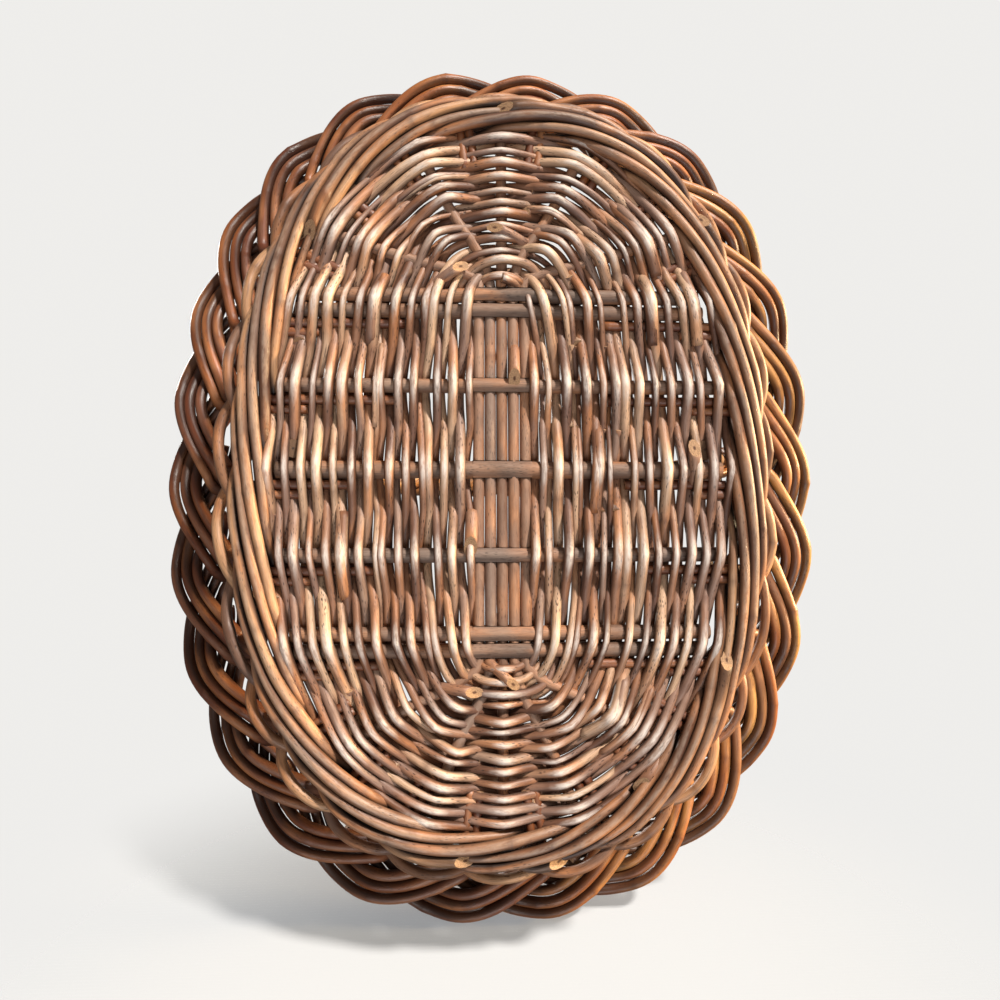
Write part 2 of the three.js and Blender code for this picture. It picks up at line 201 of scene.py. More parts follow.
def stake_places():
    """How far round the stake ring each stake stands."""
    rows = []
    for side in (1, -1):
        row = []
        for k in range(side_stakes):
            stick_x = side * (side_rank - k) * cross_stick_spacing
            outermost = k in (0, side_stakes - 1)
            stick_half = paired_half if outermost else middle_stick_thickness / 2
            beside = stick_half + stake_width / 2 + 2 * fit
            row.append(float(stake_ring.where_x(stick_x - beside, side)))
        rows.append(row)
    plus, minus = rows
    share = [k / (end_stakes + 1) for k in range(1, end_stakes + 1)]
    left_end = [plus[-1] + (minus[0] - plus[-1]) * s for s in share]
    right_end = [minus[-1] + (plus[0] + 1 - minus[-1]) * s for s in share]
    return np.array(plus + left_end + minus + right_end)


stake_at = stake_places()


def ring_place(count):
    """The way round the stake ring, counted in stakes."""
    laps = range(-2, 4)
    counts = np.concatenate([np.arange(stake_count) + lap * stake_count for lap in laps])
    places = np.concatenate([stake_at + lap for lap in laps])
    return np.interp(count, counts, places)


def smooth_path(points, step):
    """A centripetal curve through the points, cut into steps of even length."""
    points = np.asarray(points, dtype=float)
    before, after = 2 * points[0] - points[1], 2 * points[-1] - points[-2]
    points = np.concatenate([[before], points, [after]])
    part = np.linspace(0, 1, curve_parts, endpoint=False)[:, None]
    pieces = []
    for i in range(1, len(points) - 2):
        p0, p1, p2, p3 = points[i - 1 : i + 3]
        spans = ((p0, p1), (p1, p2), (p2, p3))
        d0, d1, d2 = (max(np.linalg.norm(b - a) ** 0.5, 1e-6) for a, b in spans)
        leave = ((p1 - p0) / d0 - (p2 - p0) / (d0 + d1) + (p2 - p1) / d1) * d1
        arrive = ((p2 - p1) / d1 - (p3 - p1) / (d1 + d2) + (p3 - p2) / d2) * d1
        cubic = 2 * p1 - 2 * p2 + leave + arrive
        square = -3 * p1 + 3 * p2 - 2 * leave - arrive
        pieces.append(p1 + leave * part + square * part**2 + cubic * part**3)
    dense = np.concatenate(pieces + [points[-2:-1]])
    return even_steps(dense, step)


def rows_at(wanted, places, rows):
    """Rows of numbers that lie at the given places, read between them."""
    return np.stack([np.interp(wanted, places, column) for column in rows.T], axis=-1)


def even_steps(dense, step):
    run = run_of(dense)
    count = max(int(round(run[-1] / step)), 2) + 1
    return rows_at(np.linspace(0, run[-1], count), run, dense)


def eased(path, rounds):
    """The path with its corners a little rounded."""
    for _ in range(rounds):
        path = np.concatenate([path[:1], (path[:-2] + 2 * path[1:-1] + path[2:]) / 4, path[-1:]])
    return path


def run_of(path):
    """The length walked along the path up to each of its points."""
    return np.concatenate([[0], np.cumsum(np.linalg.norm(np.diff(path, axis=0), axis=1))])


def unit(vectors):
    return vectors / np.maximum(np.linalg.norm(vectors, axis=-1, keepdims=True), 1e-9)


def drift(run, spacing, amount):
    """A slow random wander along a rod, that changes about every spacing."""
    knots = np.arange(run[0] - spacing, run[-1] + 2 * spacing, spacing)
    values = chance.normal(0, amount, len(knots))
    share = (run - knots[0]) / spacing
    low = np.floor(share).astype(int)
    part = share - low
    ease = part * part * (3 - 2 * part)
    return values[low] * (1 - ease) + values[low + 1] * ease


class RodMesh:
    """Gathers willow rods as tubes, and makes one piece of them."""

    least_side = 0.2
    other_side = (1.0, 0.3, 0.2)
    swell_spacing = 0.016
    swell_amount = 0.025
    bud_spacing = 0.042
    bud_spacing_range = (0.6, 1.5)
    bud_length = 0.0021
    bud_swell = 0.2
    bud_turn = 2.4
    bark_length = 6

    def __init__(self, name, sides=10):
        self.name = name
        self.sides = sides
        self.parts = []

    def add(self, path, radius, tint, wear_and_painted_light=None, shapes=(), start_side=(0, 0, 1), buds=True):
        """Adds one rod. Radius is one number, or one or two for each point. The wear function gives how
        rubbed each side is, with a painted highlight on the crests of the weavers, or below 0 how much
        painted shade it gets, and each shape changes the skin."""
        path = np.asarray(path, dtype=float)
        n = len(path)
        radius = np.broadcast_to(np.asarray(radius, dtype=float).T, (2, n)).T
        along = unit(np.gradient(path, axis=0))
        side = self.carried_frame(along, np.array(start_side, dtype=float))
        over = np.cross(along, side)
        run = run_of(path)
        angle = np.linspace(0, 2 * math.pi, self.sides, endpoint=False)
        uneven = drift(run, self.swell_spacing, self.swell_amount)
        swell = 1 + uneven[:, None] + np.zeros((n, self.sides))
        bud = np.zeros(n)
        if buds:
            swell, bud = self.grow_buds(run, angle, swell)
        out_side = np.cos(angle)[None, :] * radius[:, :1] * swell
        out_over = np.sin(angle)[None, :] * radius[:, 1:] * swell
        skin = path[:, None, :] + side[:, None, :] * out_side[..., None]
        skin = skin + over[:, None, :] * out_over[..., None]
        for shape in shapes:
            skin = shape(skin)
        outward = unit(skin - path[:, None, :])
        # Above 0 a side is rubbed, partly as a painted highlight on weaver crests; below 0 it gets painted
        # shade
        worn = np.zeros((n, self.sides)) if wear_and_painted_light is None else wear_and_painted_light(outward)
        shift = chance.uniform(0, self.bark_length)
        along_bark = np.broadcast_to((run + shift)[:, None], out_side.shape)
        place = np.stack([out_side, out_over, along_bark], axis=-1)
        tints = np.broadcast_to(np.broadcast_to(tint, n)[:, None], worn.shape)
        buds_here = np.broadcast_to(bud[:, None], worn.shape)
        willow = np.stack([tints, worn, buds_here], axis=-1)
        self.parts.append((skin, place, willow))

    def carried_frame(self, along, first):
        """Side directions that turn as little as possible along the rod. They start from
        the first side, or from another where the rod itself runs that way."""
        side = np.empty_like(along)
        held = first - along[0] * first.dot(along[0])
        if np.linalg.norm(held) < self.least_side:
            held = np.array(self.other_side)
        for i, direction in enumerate(along):
            held = held - direction * held.dot(direction)
            held = held / np.linalg.norm(held)
            side[i] = held
        return side

    def grow_buds(self, run, angle, swell):
        """Small one-sided swellings where twigs and leaves grew, in turn round the rod."""
        bud = np.zeros(len(run))
        at = chance.uniform(0, self.bud_spacing)
        turn = chance.uniform(0, 2 * math.pi)
        while at < run[-1]:
            near = np.exp(-(((run - at) / self.bud_length) ** 2))
            facing = np.clip(np.cos(angle - turn), 0, 1) ** 2
            swell = swell + self.bud_swell * near[:, None] * facing[None, :]
            bud = np.maximum(bud, near)
            at += self.bud_spacing * chance.uniform(*self.bud_spacing_range)
            turn += self.bud_turn
        return swell, bud

    def build(self, slot, replaced, cut_look="cut_end"):
        """Makes the piece, hides the imported nodes that it stands for, and rides it on the body. Its slot
        is also the name of its bark, and its flat ends show cut wood."""
        points, place, willow, faces, cut = [], [], [], [], []
        start = 0
        s = self.sides
        ring = np.arange(s)
        after = (ring + 1) % s
        for skin, where, traits in self.parts:
            n = len(skin)
            ends = np.stack([skin[0].mean(axis=0), skin[-1].mean(axis=0)])
            points.append(np.concatenate([skin.reshape(-1, 3), ends]))
            flat_ends = np.stack([where[0].mean(axis=0), where[-1].mean(axis=0)])
            place.append(np.concatenate([where.reshape(-1, 3), flat_ends]))
            willow.append(np.concatenate([traits.reshape(-1, 3), traits[0, :1], traits[-1, :1]]))
            base = start + np.arange(n - 1)[:, None] * s
            quads = np.stack([base + ring, base + after, base + s + after, base + s + ring], axis=-1)
            faces.extend(quads.reshape(-1, 4).tolist())
            cut.extend([0] * ((n - 1) * s))
            first, last = start + n * s, start + n * s + 1
            tail = start + (n - 1) * s
            for j in range(s):
                faces.append((first, start + after[j], start + j))
                faces.append((last, tail + j, tail + after[j]))
            cut.extend([1] * (2 * s))
            start += n * s + 2
        mesh = bpy.data.meshes.new(self.name)
        mesh.from_pydata(np.concatenate(points).tolist(), [], faces)
        mesh.polygons.foreach_set("material_index", cut)
        mesh.polygons.foreach_set("use_smooth", [c == 0 for c in cut])
        self.store(mesh, "place", np.concatenate(place))
        self.store(mesh, "willow", np.concatenate(willow))
        mesh.update()
        piece = bpy.data.objects.new(self.name, mesh)
        bpy.context.scene.collection.objects.link(piece)
        for look in (slot, cut_look):
            mesh.materials.append(looks[look])
        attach(piece, "root")
        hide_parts(*replaced)
        return piece

    def store(self, mesh, name, values):
        attribute = mesh.attributes.new(name, "FLOAT_VECTOR", "POINT")
        attribute.data.foreach_set("vector", np.ascontiguousarray(values, dtype=np.float32).ravel())


def cut_slanted(path, length):
    """Cuts the first end of a rod at a slant, so that the cut shows from below."""
    along = unit(path[1] - path[0])
    fade = np.clip(1 - run_of(path) / (3 * length), 0, 1)

    def shape(skin):
        below = skin[0, :, 2].max() - skin[0, :, 2]
        shift = length * (below / below.max())[None, :] * fade[:, None]
        return skin + along * shift[..., None]
    return shape


def facing_down(outward):
    """How squarely a side faces down, where rods are rubbed; on the weavers' crests it also places a
    painted highlight.
    """
    return np.clip(-outward[..., 2], 0, 1)


# Sticks of the base

stick_rub = 0.5
stick_wander = 0.00015
long_stick_fullness = 1.03
long_stick_unevenness = 0.01
slit_edge = 0.0001
# Points along a cross stick, and more of them near its slit
stick_points = 60
slit_points = 28


def long_stick_path(index):
    """Side by side through the slits, then spread into a fan at each end: straight out
    of the last slit, bent just beyond it, and straight again to the edge."""
    y = (index - (len(fan_steps) - 1) / 2) * long_stick_pitch
    halves = []
    for end in (-1, 1):
        first = 2 * side_stakes + end_stakes - 1 if end > 0 else side_stakes - 1
        u = ring_place(first + (end_stakes + 1) / 2 + end * fan_steps[index])
        tip = stake_ring.place(u, field_edge - stick_end_inset, deck_height)
        neck = np.array([end * slot_half_length, y, deck_height])
        bend = neck + (tip - neck) / 5
        bend[1] = y + (tip[1] - y) / 8
        level = np.array([neck * [share, 1, 1] for share in (0.9, 0.45)])
        halves.append([*level[::-1], neck, bend, (neck + tip) / 2, tip])
    return smooth_path(halves[0][::-1] + halves[1], stick_path_step)


def stick_wear(outward):
    return facing_down(outward) ** 3 * stick_rub


def make_long_sticks():
    for index in range(len(fan_steps)):
        mesh = RodMesh(f"long_stick_{index + 1}_rod", sides=12)
        path = long_stick_path(index)
        run = run_of(path)
        path[:, 2] += drift(run, spacing=0.03, amount=stick_wander)
        uneven = drift(run, spacing=0.05, amount=long_stick_unevenness)
        radius = long_stick_thickness / 2 * (long_stick_fullness + uneven)
        tint = chance.uniform(0.3, 0.8)
        mesh.add(path, radius, tint, stick_wear)
        mesh.build("long_stick", [f"long_stick_{index + 1}"])


def front_half(skin):
    """The side of a pierced stick below its slit, and the whole stick beyond the slit."""
    inside = np.abs(skin[..., 1]) <= slit_half_length
    cap = np.where(inside, deck_height - slit_half_height, np.inf)
    skin[..., 2] = np.minimum(skin[..., 2], cap)
    return skin


def back_half(skin):
    """The side of a pierced stick above its slit."""
    skin[..., 2] = np.maximum(skin[..., 2], deck_height + slit_half_height)
    return skin


def make_cross_sticks():
    for index, (x, thickness) in enumerate(cross_stick_places()):
        edge = stake_ring.place(stake_ring.where_x(x, 1), field_edge, 0)
        reach = edge[1] - stick_end_inset
        shoulder = slit_half_length + slit_shoulder
        slit_end = np.array([slit_half_length, slit_half_length + slit_edge])
        y = np.unique(np.concatenate([
            np.linspace(-reach, reach, stick_points),
            np.linspace(-shoulder, shoulder, slit_points),
            slit_end,
            -slit_end,
        ]))
        path = np.stack([np.full_like(y, x), y, np.full_like(y, deck_height)], axis=-1)
        swollen = slit_half_height + slit_wall
        high = np.interp(np.abs(y), [shoulder, shoulder + slit_taper], [swollen, thickness / 2])
        radius = np.stack([high, np.full_like(y, thickness / 2)], axis=-1)
        tint = chance.uniform(0.2, 0.8)
        mesh = RodMesh(f"cross_stick_{index + 1}_rod", sides=16)
        mesh.add(path, radius, tint, stick_wear, [front_half], buds=False)
        between = np.abs(y) <= slit_half_length + 2 * slit_edge
        mesh.add(path[between], radius[between], tint, None, [back_half], buds=False)
        mesh.build("stick", [f"cross_stick_{index + 1}"])


# Woven field of the base

row_turns = weave_rows - 1
row_start = 0.985
row_overrun = 0.0034
row_blend = 0.14
# Rows this far out go round the whole fan as one, and then round its outer sticks in pairs
whole_fan_share = 0.2
paired_fan_share = 0.42
# Where sticks stand close, a row runs straight from one to the next. Where they stand far
# apart it bends with the oval, and most_bend says how fully, from the inner to the outer rows
straight_swing = 0.0003
bent_swing = 0.0016
least_bend = 0.1
bend_rows = (0.22, 0.38, 1.0)
most_bend = (0.95, 0.6, 0.95)
line_steps = 8
# Thickness of a rod at its thick end and its thin end, how many sticks it passes, and how
# far it slips out of line
weaver_butt = (0.0049, 0.0058)
weaver_tip = (0.0024, 0.0034)
weaver_taper = 1.2
weaver_reach = (12, 19)
shortest_weaver = 5
weaver_slip = 0.0004
spare_slips = 8
# How far a rod shows beside its neighbour where it passes behind a stick
show_behind = 0.0011
show_less_right = 0.0005
show_more_at_ends = 0.0012
# How hard rods are pressed together, and how sharply they bend round a stick, where 1 is
# a corner
press_slack = 0.15
most_pressed = 0.9
kink = 0.985
# Two rods that meet lie past each other over this many sticks
join_reach = 0.9
join_deeper = 0.0010
join_aside = 0.0012
# How narrow a weaver's pale crest is (partly real wear, partly a painted highlight), then how dark the
# painted shade is on a rod's sides where its neighbours meet, and how fast it fades
crest_sharpness = 6
side_painted_shade = 1.35
painted_shade_fade = 1.4
weave_samples = 12


class Field:
    """The rows of the base: ovals that grow from the slot to the edge."""

    levels = 57
    lookups = 721
    per_turn = 60
    smoothing = 5
    power_rise = 0.6
    least_begun = 0.02

    def __init__(self, start):
        self.start = start
        outer_length = stake_ring.half_length + field_edge + row_overrun
        outer_width = stake_ring.half_width + field_edge + row_overrun
        self.steps = np.linspace(0, 1, self.levels)
        self.ovals = [
            Oval(
                slot_half_length + (outer_length - slot_half_length) * t,
                slot_half_width + (outer_width - slot_half_width) * t,
                slot_power + (oval_power - slot_power) * t**self.power_rise,
            )
            for t in self.steps
        ]
        self.grid = np.stack([oval.at(np.linspace(0, 1, self.lookups)) for oval in self.ovals])
        self.crossings = np.stack([self.crossings_of(oval) for oval in self.ovals])

    def crossings_of(self, oval):
        """Where the row crosses the sticks: side, fan, other side and other fan."""
        plus = [oval.where_x(k * cross_stick_spacing, 1) for k in range(side_rank, -side_rank - 1, -1)]
        minus = [oval.where_x(k * cross_stick_spacing, -1) for k in range(-side_rank, side_rank + 1)]
        fans = {-1: [], 1: []}
        for index in range(len(fan_steps)):
            path = long_stick_path(index)
            depth = oval.depth(path[:, 0], path[:, 1])
            for end in (-1, 1):
                side = np.where(path[:, 0] * end > 0)[0]
                order = side if end > 0 else side[::-1]
                y = np.interp(1, depth[order], path[order, 1])
                x = np.interp(1, depth[order], path[order, 0])
                u = float(oval.under(x, y))
                fans[end].append(u + 1 if end > 0 and u < 0.5 else u)
        return np.array(plus + sorted(fans[-1]) + minus + sorted(fans[1]))

    def at(self, t, u):
        t = np.clip(t, 0, 1) * (self.levels - 1)
        low = np.minimum(t.astype(int), self.levels - 2)
        part = (t - low)[:, None]
        share = np.mod(u, 1.0) * (self.lookups - 1)
        left = np.minimum(share.astype(int), self.lookups - 2)
        across = (share - left)[:, None]
        near = self.grid[low, left] * (1 - across) + self.grid[low, left + 1] * across
        far = self.grid[low + 1, left] * (1 - across) + self.grid[low + 1, left + 1] * across
        return near * (1 - part) + far * part

    def normal(self, t, u):
        along = unit(self.at(t, u + normal_step) - self.at(t, u - normal_step))
        return np.stack([along[:, 1], -along[:, 0]], axis=-1)

    def sticks(self, turn):
        """The sticks that one turn of a row crosses: where it does, counted in turns, and
        half the thickness of each."""
        side, fan = side_stakes, len(fan_steps)
        share = turn / weave_rows
        half_cross = cross_stick_thickness / 2
        half_long = long_stick_thickness / 2
        found = []
        for first, is_fan in ((0, False), (side, True), (side + fan, False), (2 * side + fan, True)):
            if not is_fan:
                groups = [[first + k] for k in range(side)]
            elif share < whole_fan_share:
                groups = [[first + k for k in range(fan)]]
            elif share < paired_fan_share:
                groups = [[first, first + 1], [first + 2], [first + 3, first + 4]]
            else:
                groups = [[first + k] for k in range(fan)]
            for group in groups:
                t = self.row_share(turn + 0.5)
                for _ in range(3):
                    u = float(np.mean([np.interp(t, self.steps, self.crossings[:, g]) for g in group]))
                    t = self.row_share(turn + np.mod(u - self.start, 1.0))
                found.append((turn + np.mod(u - self.start, 1.0), half_long if is_fan else half_cross))
        return sorted(found)

    def row_share(self, turns):
        """How far out a row lies, as a share of the way from the slot to the edge."""
        return np.interp(turns, self.turns, self.shares)

    def even_rows(self):
        self.turns = np.array([0, row_turns])
        self.shares = (0.5 + self.turns) / weave_rows

    def pack_rows(self, turns, widths):
        """Rows lie against each other, so a thin stretch takes less of the way out."""
        per_turn = self.per_turn
        self.turns = np.arange(0, row_turns, 1 / per_turn)
        width = np.interp(self.turns, turns, widths) * self.begun(self.turns)
        stacked = np.zeros_like(width)
        total = np.zeros(per_turn)
        for i, rod_width in enumerate(width):
            stacked[i] = total[i % per_turn] + rod_width / 2
            total[i % per_turn] += rod_width
        share = stacked / total[np.arange(len(width)) % per_turn]
        kernel = np.ones(self.smoothing) / self.smoothing
        padded = np.pad(share, self.smoothing // 2, mode="edge")
        self.shares = np.convolve(padded, kernel, mode="valid")
        u = self.start + np.arange(per_turn) / per_turn
        across = self.at(np.ones(per_turn), u) - self.at(np.zeros(per_turn), u)
        self.room = np.linalg.norm(across, axis=1) / total

    def begun(self, turns):
        """Below 1 where the first and the last row taper in and out."""
        return np.clip(np.minimum(turns, row_turns - turns) / row_blend, self.least_begun, 1)

    def tightness(self, turns):
        """The room that the rods have side by side, as a share of their thickness."""
        count = len(self.room)
        room = np.append(self.room, self.room[0])
        return np.interp(np.mod(turns, 1) * count, np.arange(count + 1), room)


class Weaver:
    """One rod of the base, from near one stick to near another farther on."""

    def __init__(self, strand, begin, end, last, butt_first):
        self.strand = strand
        self.joined_before = begin > 0
        self.joined_after = end < last
        self.start = begin - 0.5 if self.joined_before else 0
        self.end = end + 0.5 if self.joined_after else last
        self.butt_first = butt_first
        self.thick = chance.uniform(*weaver_butt)
        self.thin = chance.uniform(*weaver_tip)
        self.tint = chance.uniform(0, 1)

    def thickness(self, count):
        share = np.clip((count - self.start) / (self.end - self.start), 0, 1)
        along = share if self.butt_first else 1 - share
        return self.thick + (self.thin - self.thick) * along**weaver_taper


def plan_weavers(last):
    """Two lines of rods, joined butt to butt and tip to tip."""
    weavers = []
    for strand in range(2):
        begin = 0
        butt_first = strand == 0
        while begin < last:
            end = min(begin + int(chance.integers(*weaver_reach)), last)
            if last - end < shortest_weaver:
                end = last
            weavers.append(Weaver(strand, begin, end, last, butt_first))
            begin = end
            butt_first = not butt_first
    return weavers


def crossed_sticks(field):
    """Where the rods pass a stick, counted in turns, and half the thickness of each stick."""
    crossed = [c for turn in range(weave_rows) for c in field.sticks(turn)]
    crossed = [c for c in crossed if c[0] < row_turns]
    return np.array([c[0] for c in crossed]), np.array([c[1] for c in crossed])


def row_line(field, turns, from_count, to_count):
    """The line of a row from stick to stick, in steps counted in sticks passed."""
    at_sticks = field.at(field.row_share(turns), turns + field.start)
    middle = (turns[:-1] + turns[1:]) / 2
    middle = field.at(field.row_share(middle), middle + field.start)
    swing = np.linalg.norm(middle - (at_sticks[:-1] + at_sticks[1:]) / 2, axis=1)
    most = np.interp(field.row_share(turns[:-1]), bend_rows, most_bend)
    follow = np.clip((swing - straight_swing) / bent_swing, least_bend, most)
    first_step = math.floor(line_steps * from_count)
    steps = np.arange(first_step, math.ceil(line_steps * to_count) + 1) / line_steps
    stick = np.clip(np.floor(steps).astype(int), 0, len(turns) - 2)
    part = (steps - stick)[:, None]
    chord = at_sticks[stick] * (1 - part) + at_sticks[stick + 1] * part
    turned = np.interp(steps, np.arange(len(turns)), turns)
    curve = field.at(field.row_share(turned), turned + field.start)
    return steps, turned, chord + (curve - chord) * follow[stick][:, None]


butt_length = 0.018
butt_height = 0.0030
butt_rise = 0.0060
butt_bend = 1.4
butt_points = 9
butt_slant = 1.5
# Rods that end on the outside: where the cut is, the way back along the rod, and thickness
butts = (
    ((0.0370, 0.0054), (1.0, 0.02), 0.0052),
    ((-0.0395, -0.0146), (1.0, 0.05), 0.0060),
    ((0.0135, 0.0868), (-1.0, 0.06), 0.0054),
    ((0.0941, -0.0155), (-0.5, -0.9), 0.0050),
    ((-0.0985, -0.0090), (0.1, -1.0), 0.0050),
    ((-0.0970, 0.0067), (0.6, -0.7), 0.0044),
    ((0.1119, -0.0066), (-0.3, 0.9), 0.0048),
    ((-0.1411, 0.0573), (0.7, 0.7), 0.0050),
)


def add_butts(mesh):
    """Cut ends that stand out a little between the rods."""
    for (x, y), back, thick in butts:
        run = np.linspace(0, butt_length, butt_points)
        flat = np.array([x, y]) + unit(np.array(back)) * run[:, None]
        rise = butt_height + butt_rise * (run / run[-1]) ** butt_bend
        path = np.concatenate([flat, rise[:, None]], axis=-1)
        slanted = cut_slanted(path, butt_slant * thick)
        tint = chance.uniform(0.3, 0.6)
        mesh.add(path, thick / 2, tint, None, [slanted], buds=False)


def plan_rows(field):
    """The rods, and rows that take up the room that the rods need. Gives the rods, the
    turns at which rows pass a stick, half of each stick's thickness, and how thick the rods
    of both lines are there."""
    field.even_rows()
    turns, half_stick = crossed_sticks(field)
    weavers = plan_weavers(len(turns) - 1)
    every = np.arange(len(turns))
    lanes = np.zeros((2, len(turns)))
    for weaver in weavers:
        within = (every >= weaver.start) & (every <= weaver.end)
        lanes[weaver.strand, within] = weaver.thickness(every[within])
    field.pack_rows(turns, lanes.sum(axis=0))
    turns, half_stick = crossed_sticks(field)
    count = min(len(every), len(turns))
    return weavers, turns[:count], half_stick[:count], lanes[:, :count]


def lane_line(field, weaver, turns, neighbour, lean, to_count):
    """The line of the row, moved aside into the rod's own lane."""
    steps, turned, line = row_line(field, turns, weaver.start, to_count)
    room = field.tightness(turned)
    other = np.interp(steps, np.arange(len(turns)), neighbour)
    beside = (weaver.strand - 0.5) * other * room * field.begun(turned)
    beside = beside + np.interp(steps * 2, np.arange(len(lean)), lean)
    aim = field.normal(field.row_share(turned), turned + field.start)
    behind = np.clip(-np.cos(math.pi * (steps + weaver.strand)), 0, 1)
    to_the_end = np.abs(aim[:, 0]) * field.row_share(turned)
    shown = show_behind - show_less_right * aim[:, 1] + show_more_at_ends * to_the_end
    beside = beside + behind * shown
    return steps, turned, line + aim * beside[:, None]


def lay_weaver(mesh, field, weaver, turns, half_stick, neighbour, lean, depth):
    """Adds one rod, that passes in front of one stick and behind the next."""
    to_count = min(weaver.end, len(turns) - 1)
    count = np.linspace(weaver.start, to_count, int((to_count - weaver.start) * weave_samples) + 1)
    steps, turned, line = lane_line(field, weaver, turns, neighbour, lean, to_count)
    flat = rows_at(count, steps, line)
    here = np.interp(count, steps, turned)
    pressed = np.clip(field.tightness(here) + press_slack, most_pressed, 1)
    radius = weaver.thickness(count) * pressed / 2
    theta = math.pi * (count + weaver.strand)
    height = np.interp(count, np.arange(len(turns)), half_stick) + radius
    zigzag = np.arcsin(kink * np.cos(theta)) / math.asin(kink)
    down = height * zigzag + np.interp(count * 2, np.arange(len(depth)), depth)
    near_start = np.clip(1 - (count - weaver.start) / join_reach, 0, 1) * weaver.joined_before
    near_end = np.clip(1 - (to_count - count) / join_reach, 0, 1) * weaver.joined_after
    down = down + join_deeper * (near_start + near_end) * np.sign(np.cos(theta))
    aside = join_aside * (near_start - near_end)
    aim = field.normal(field.row_share(here), here + field.start)
    flat = eased(flat, 1) + aim * aside[:, None]
    path = np.concatenate([flat, (deck_height - down)[:, None]], axis=-1)
    crest = np.clip(np.cos(theta), 0, 1) ** crest_sharpness

    # The down-facing crest is paler, partly real wear and partly a painted highlight, and the rod's sides
    # get painted shade where its neighbours meet
    def rubbed(outward):
        sideways = 1 - np.abs(outward[..., 2])
        return crest[:, None] * facing_down(outward) ** 2 - side_painted_shade * sideways**painted_shade_fade

    mesh.add(path, radius, weaver.tint, rubbed)


def make_base_weave():
    """Two lines of rods side by side, joined to new rods as they run out."""
    field = Field(row_start)
    weavers, turns, half_stick, lanes = plan_rows(field)
    mesh = RodMesh("base_weave_rods", sides=10)
    slip_count = 2 * (len(turns) - 1) + spare_slips
    slips = [chance.normal(0, weaver_slip, slip_count) for _ in range(4)]
    for weaver in weavers:
        strand = weaver.strand
        neighbour = lanes[1 - strand]
        lean, depth = slips[strand], slips[2 + strand]
        lay_weaver(mesh, field, weaver, turns, half_stick, neighbour, lean, depth)
    add_butts(mesh)
    mesh.build("weaver", ["base_weave"])


# Waling

samples_per_stake = 12
round_unevenness = 0.0003
# How many stakes an upsett rod passes before it goes behind one, the rods in each node,
# and where each rod gives way to the next, in stakes passed
upsett_strands = 5
upsett_rods = (3, 3, 2)
upsett_joins = (15.2, 33.6, 47.4, 64.5, 81.8, 96.2, 112.9, 128.4)
upsett_butt = 0.0055
upsett_taper = 0.0014
upsett_slant = 0.0090
upsett_overlap = 0.5
upsett_tuck = 0.0040
upsett_stake_pitch = 0.02
upsett_path_step = 0.0005
# How worn the upsett rods are where they face down, and how strong the painted shade is where they touch
upsett_wear_and_shade = (0.55, 1.25)
# Middle of the bundle of upsett rods, and of the waling, as distance outward and height
upsett_middle = (0.0018, 0.0105)
wale_centre = (0.0048, 0.0162)
wall_lean = math.radians(33)
wale_butt = 0.0050
wale_taper = 0.0009
wale_squareness = 1.8
wale_overlap = 0.7
wale_end_reach = 1.2
wale_end_tuck = 0.0022
# How far the waling stands away from the stakes, and where it does
loose_reach = 0.005
loose_at_minus_y = 0.75
loose_at_plus_y = 0.45
tight_at_plus_x = 0.5

# One cycle of an upsett rod, as stakes passed, distance outward and height: behind
# a stake, down through the edge, then under and outside the next four
upsett_cycle = (
    (0.0, -0.0050, 0.0142),
    (0.5, -0.0042, 0.0080),
    (1.0, -0.0038, 0.0047),
    (2.0, 0.0006, 0.0028),
    (3.0, 0.0051, 0.0040),
    (4.0, 0.0090, 0.0076),
    (4.5, 0.0046, 0.0112),
)


def upsett_path(count):
    """Five rods wound as one long closed line, that passes every stake five times."""
    knots = np.array(upsett_cycle)
    stakes = np.concatenate([knots[:, 0] + lap * upsett_strands for lap in (-1, 0, 1)])
    outward = np.tile(knots[:, 1], 3)
    height = np.tile(knots[:, 2], 3)
    line = np.stack([stakes * upsett_stake_pitch, outward, height], axis=-1)
    dense = smooth_path(line, upsett_path_step)
    passed = np.mod(count, upsett_strands) * upsett_stake_pitch
    return rows_at(passed, dense[:, 0], dense[:, 1:]).T


def on_ground(skin):
    """Rods that the basket rests on are worn flat."""
    skin[..., 2] = np.maximum(skin[..., 2], 0)
    return skin


def worn_and_painted_shade(face, worn, painted_shade):
    """Rods laid on a round bundle: worn where they face down, with painted shade where they touch."""
    def wear_and_painted_light(outward):
        facing = np.clip((outward * face[:, None, :]).sum(axis=-1), 0, 1)
        rub = facing_down(outward) ** 3 * worn * facing
        return rub - painted_shade * (1 - facing) ** painted_shade_fade
    return wear_and_painted_light


def make_upsett():
    """Rods laid end to end on one long line, that goes five times round the basket."""
    begin = upsett_joins[-1] - upsett_strands * stake_count
    joins = iter(upsett_joins)
    for node_index, rods in enumerate(upsett_rods):
        mesh = RodMesh(f"upsett_rod_{node_index + 1}_willow", sides=12)
        for _ in range(rods):
            end = next(joins)
            last = end + upsett_overlap
            count = np.arange(begin, last, 1 / samples_per_stake)
            outward, height = upsett_path(count)
            run = count * stake_ring.length / stake_count
            outward = outward + drift(run, spacing=0.05, amount=round_unevenness)
            height = height + upsett_tuck * np.clip(1 - (last - count) / (3 * upsett_overlap), 0, 1)
            around = ring_place(np.mod(count, stake_count))
            path = eased(stake_ring.place(around, outward, height), 1)
            radius = (upsett_butt - upsett_taper * np.linspace(0, 1, len(count))) / 2
            away = unit(np.stack([outward, height], axis=-1) - upsett_middle)
            face = np.concatenate([stake_ring.normal(around) * away[:, :1], away[:, 1:]], axis=-1)
            wear_and_painted_light = worn_and_painted_shade(face, *upsett_wear_and_shade)
            slanted = cut_slanted(path, upsett_slant)
            tint = chance.uniform(0, 1)
            mesh.add(path, radius, tint, wear_and_painted_light, [slanted, on_ground])
            begin = end
        mesh.build("wale", [f"upsett_rod_{node_index + 1}"])


